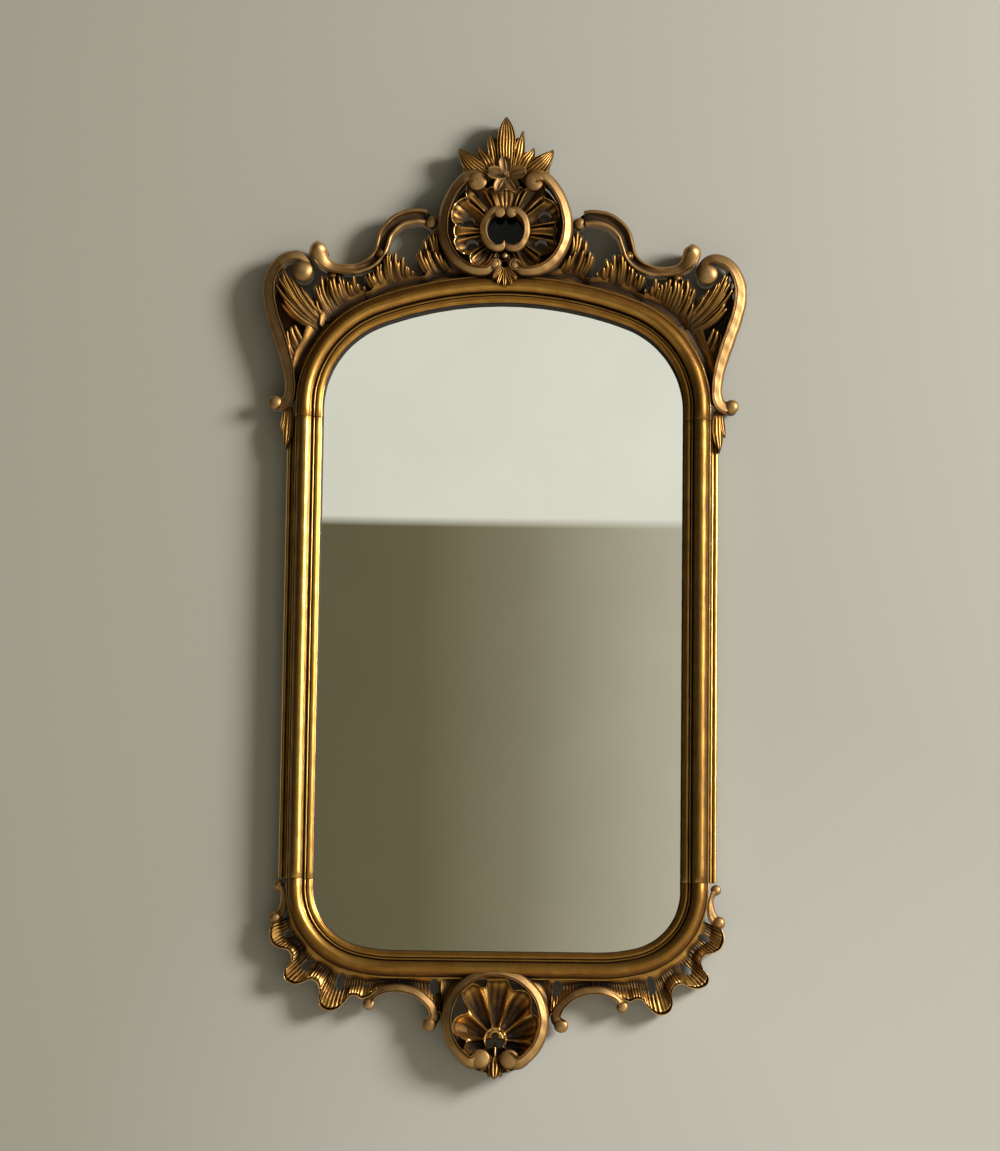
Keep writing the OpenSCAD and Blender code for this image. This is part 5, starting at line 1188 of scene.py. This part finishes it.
def wall_paint(left, right, low):
    """Matt wall paint. Only a view from the front sees the wall, so that the back of the frame
    can be looked at; light that has bounced once finds it solid, which keeps the gap dark.
    The paint is made cooler on the right and paler near the floor: painted light, for the light that the
    room throws on it."""
    material, tree = start("matt_wall_paint")
    where = add(tree, "TexCoord").outputs["Object"]
    axes = add(tree, "SeparateXYZ", {0: where})
    # painted light: the paint turns cooler towards the right, where the lamp falls
    side = add(tree, "MapRange", {0: axes.outputs["X"], 1: -0.6, 2: 0.6})
    cool = add(tree, "Mix", {0: side, 6: srgb(left), 7: srgb(right)}, data_type="RGBA")
    # painted light: paler round a place low on the wall, near the floor, for the light that the floor throws
    # up
    painted_light_centre = (0.25, 0, -1.35)
    reach = add(tree, "VectorMath", {0: where, 1: painted_light_centre}, operation="DISTANCE")
    painted_floor_light = add(tree, "MapRange", {0: reach, 1: 0.45, 2: 1.0, 3: 1.0, 4: 0.0})
    tone = add(tree, "Mix", {0: painted_floor_light, 6: cool, 7: srgb(low)}, data_type="RGBA")
    # stipple of the paint roller, 4 mm wide
    roller = add(tree, "TexNoise", {"Vector": where, "Scale": 260, "Detail": 3})
    relief = add(tree, "Bump", {"Strength": 0.05, "Distance": 0.001, "Height": roller})
    paint = add(tree, "BsdfPrincipled", {
        "Base Color": tone, "Roughness": 0.9, "Specular IOR Level": 0.2, "Normal": relief})
    clear = add(tree, "BsdfTransparent")
    ray = add(tree, "LightPath").outputs
    back = add(tree, "NewGeometry").outputs["Backfacing"]
    front = add(tree, "Math", {0: 1.0, 1: back}, operation="SUBTRACT")
    seen = add(tree, "Math", {0: ray["Is Camera Ray"], 1: front}, operation="MULTIPLY")
    bounces = add(tree, "Math", {0: ray["Diffuse Depth"], 1: ray["Is Shadow Ray"]}, operation="ADD")
    later = add(tree, "Math", {0: bounces, 1: 1.5}, operation="GREATER_THAN")
    solid = add(tree, "Math", {0: seen, 1: later}, operation="MAXIMUM")
    wall = add(tree, "MixShader", {0: solid, 1: clear, 2: paint})
    add(tree, "OutputMaterial", {0: wall})
    return material


def plain_room():
    """Light from the room, and what the glass looks out on: pale ceiling from 8.5 degrees up and
    greige wall below it, darker to the left. Off to the sides the room is dim on the left and light
    on the right. Places are parts of a direction 1 long: X to the right, Z up."""
    world = bpy.data.worlds.new("plain_room")
    bpy.context.scene.world = world
    world.use_nodes = True
    tree = world.node_tree
    tree.nodes.clear()
    way = add(tree, "TexCoord")
    axes = add(tree, "SeparateXYZ", {0: way.outputs["Generated"]}).outputs
    # straight ahead of the glass
    ahead = add(tree, "MapRange", {0: axes["X"], 1: -0.10, 2: 0.10})
    wall = add(tree, "ValToRGB", {0: ahead}, ramp=[
        (0.0, "5d5740"), (0.30, "6a634a"), (0.45, "88816a"), (0.62, "b2ac97"), (0.8, "cac5b2")])
    ceiling = add(tree, "ValToRGB", {0: ahead}, ramp=[(0.0, "dcd9cc"), (0.5, "e5e3d7"), (1.0, "ecebe2")])
    cornice = add(tree, "MapRange", {0: axes["Z"], 1: 0.1462, 2: 0.1490})
    view = add(tree, "Mix", {0: cornice, 6: wall, 7: ceiling}, data_type="RGBA")
    # all round, brighter upward
    wide = add(tree, "MapRange", {0: axes["X"], 1: -1.0, 2: 1.0})
    sides = add(tree, "ValToRGB", {0: wide}, ramp=[
        (0.0, "14110c"), (0.35, "1f1b15"), (0.5, "3a362d"), (0.62, "706d62"), (0.8, "b3b1a8"),
        (1.0, "cfcdc6")])
    upward = add(tree, "MapRange", {0: axes["Z"], 1: -0.8, 2: 0.6, 3: 0.45, 4: 1.15})
    lit = add(tree, "VectorMath", {0: sides, "Scale": upward}, operation="SCALE")
    # where the one gives way to the other
    off = add(tree, "Math", {0: axes["X"]}, operation="ABSOLUTE")
    between = add(tree, "MapRange", {0: off, 1: 0.11, 2: 0.14, 3: 1.0, 4: 0.0})
    rise = add(tree, "Math", {0: axes["Z"], 1: 0.11}, operation="SUBTRACT")
    height = add(tree, "Math", {0: rise}, operation="ABSOLUTE")
    level = add(tree, "MapRange", {0: height, 1: 0.16, 2: 0.24, 3: 1.0, 4: 0.0})
    opening = add(tree, "Math", {0: between, 1: level}, operation="MULTIPLY")
    front = add(tree, "Mix", {0: opening, 6: lit, 7: view}, data_type="RGBA")
    behind = add(tree, "Math", {0: axes["Y"], 1: 0.0}, operation="GREATER_THAN")
    around = add(tree, "Mix", {0: behind, 6: front, 7: srgb("b8b4a2")}, data_type="RGBA")
    # beyond the wall the camera sees a plain pale backdrop; this puts no light on the object
    seen = add(tree, "LightPath").outputs["Is Camera Ray"]
    backdrop = add(tree, "Mix", {0: seen, 6: around, 7: srgb("cbc8bc")}, data_type="RGBA")
    light = add(tree, "Background", {0: backdrop, 1: 1.0})
    add(tree, "OutputWorld", {0: light})


def lamp(name, place, aim, size, power, colour):
    data = bpy.data.lights.new(name, "AREA")
    data.shape, data.size, data.energy, data.color = "DISK", size, power, srgb(colour)[:3]
    made = bpy.data.objects.new(name, data)
    made.location = place
    made.rotation_euler = (Vector(aim) - Vector(place)).to_track_quat("-Z", "Y").to_euler()
    bpy.context.scene.collection.objects.link(made)


# metres: level of the floor, and half the width and the top of the wall
FLOOR_Z, WALL_X, WALL_TOP = -2.55, 2.4, 4
# pale paint worn in clouds 0.3 m wide, so that the floor lifts the shadows without a pattern
floor_paint = mottled("pale_floor", 3, [(0.3, "c9c6bb"), (0.7, "d3d0c6")], Roughness=0.8)
card("wall", wall_paint("bcbaab", "bcbbb1", "c9c8be"),
     (-WALL_X, 0, FLOOR_Z), (WALL_X, 0, FLOOR_Z), (WALL_X, 0, WALL_TOP), (-WALL_X, 0, WALL_TOP))
card("floor", floor_paint, (-7, -9, FLOOR_Z), (7, -9, FLOOR_Z), (7, 7, FLOOR_Z), (-7, 7, FLOOR_Z))
plain_room()
# one broad daylight from the right, high and in front: it makes the soft shadows at the left
lamp("window_light", place=(5.3, -3.6, 1.5), aim=(0, 0, -0.25), size=2.3, power=465, colour="fffdfb")

# ---------------------------------------------------------------- camera
LENS_PX = 3502.0  # focal length in pixels of the 1000 x 1151 picture
PICTURE_H = 1151.0
SENSOR = 36.0
# The eye stands 5.8 m off, below the middle, turned 1 degree to the left and tipped up 7.6 degrees.
EYE = (0.099, -5.7685, -0.95)
right = Vector((0.99979421, 0.01584707, 0.01266546))
up = Vector((-0.01044917, -0.13286073, 0.99107963))
ahead = Vector((-0.01738845, 0.99100802, 0.1326678))
camera = bpy.data.objects.new("camera", bpy.data.cameras.new("camera"))
bpy.context.scene.collection.objects.link(camera)
camera.matrix_world = Matrix.Translation(EYE) @ Matrix((right, up, -ahead)).transposed().to_4x4()
camera.data.sensor_fit = "VERTICAL"
camera.data.sensor_height = SENSOR
camera.data.lens = SENSOR * LENS_PX / PICTURE_H
camera.data.clip_end = 100
bpy.context.scene.camera = camera
bpy.context.scene.view_settings.view_transform = "Standard"
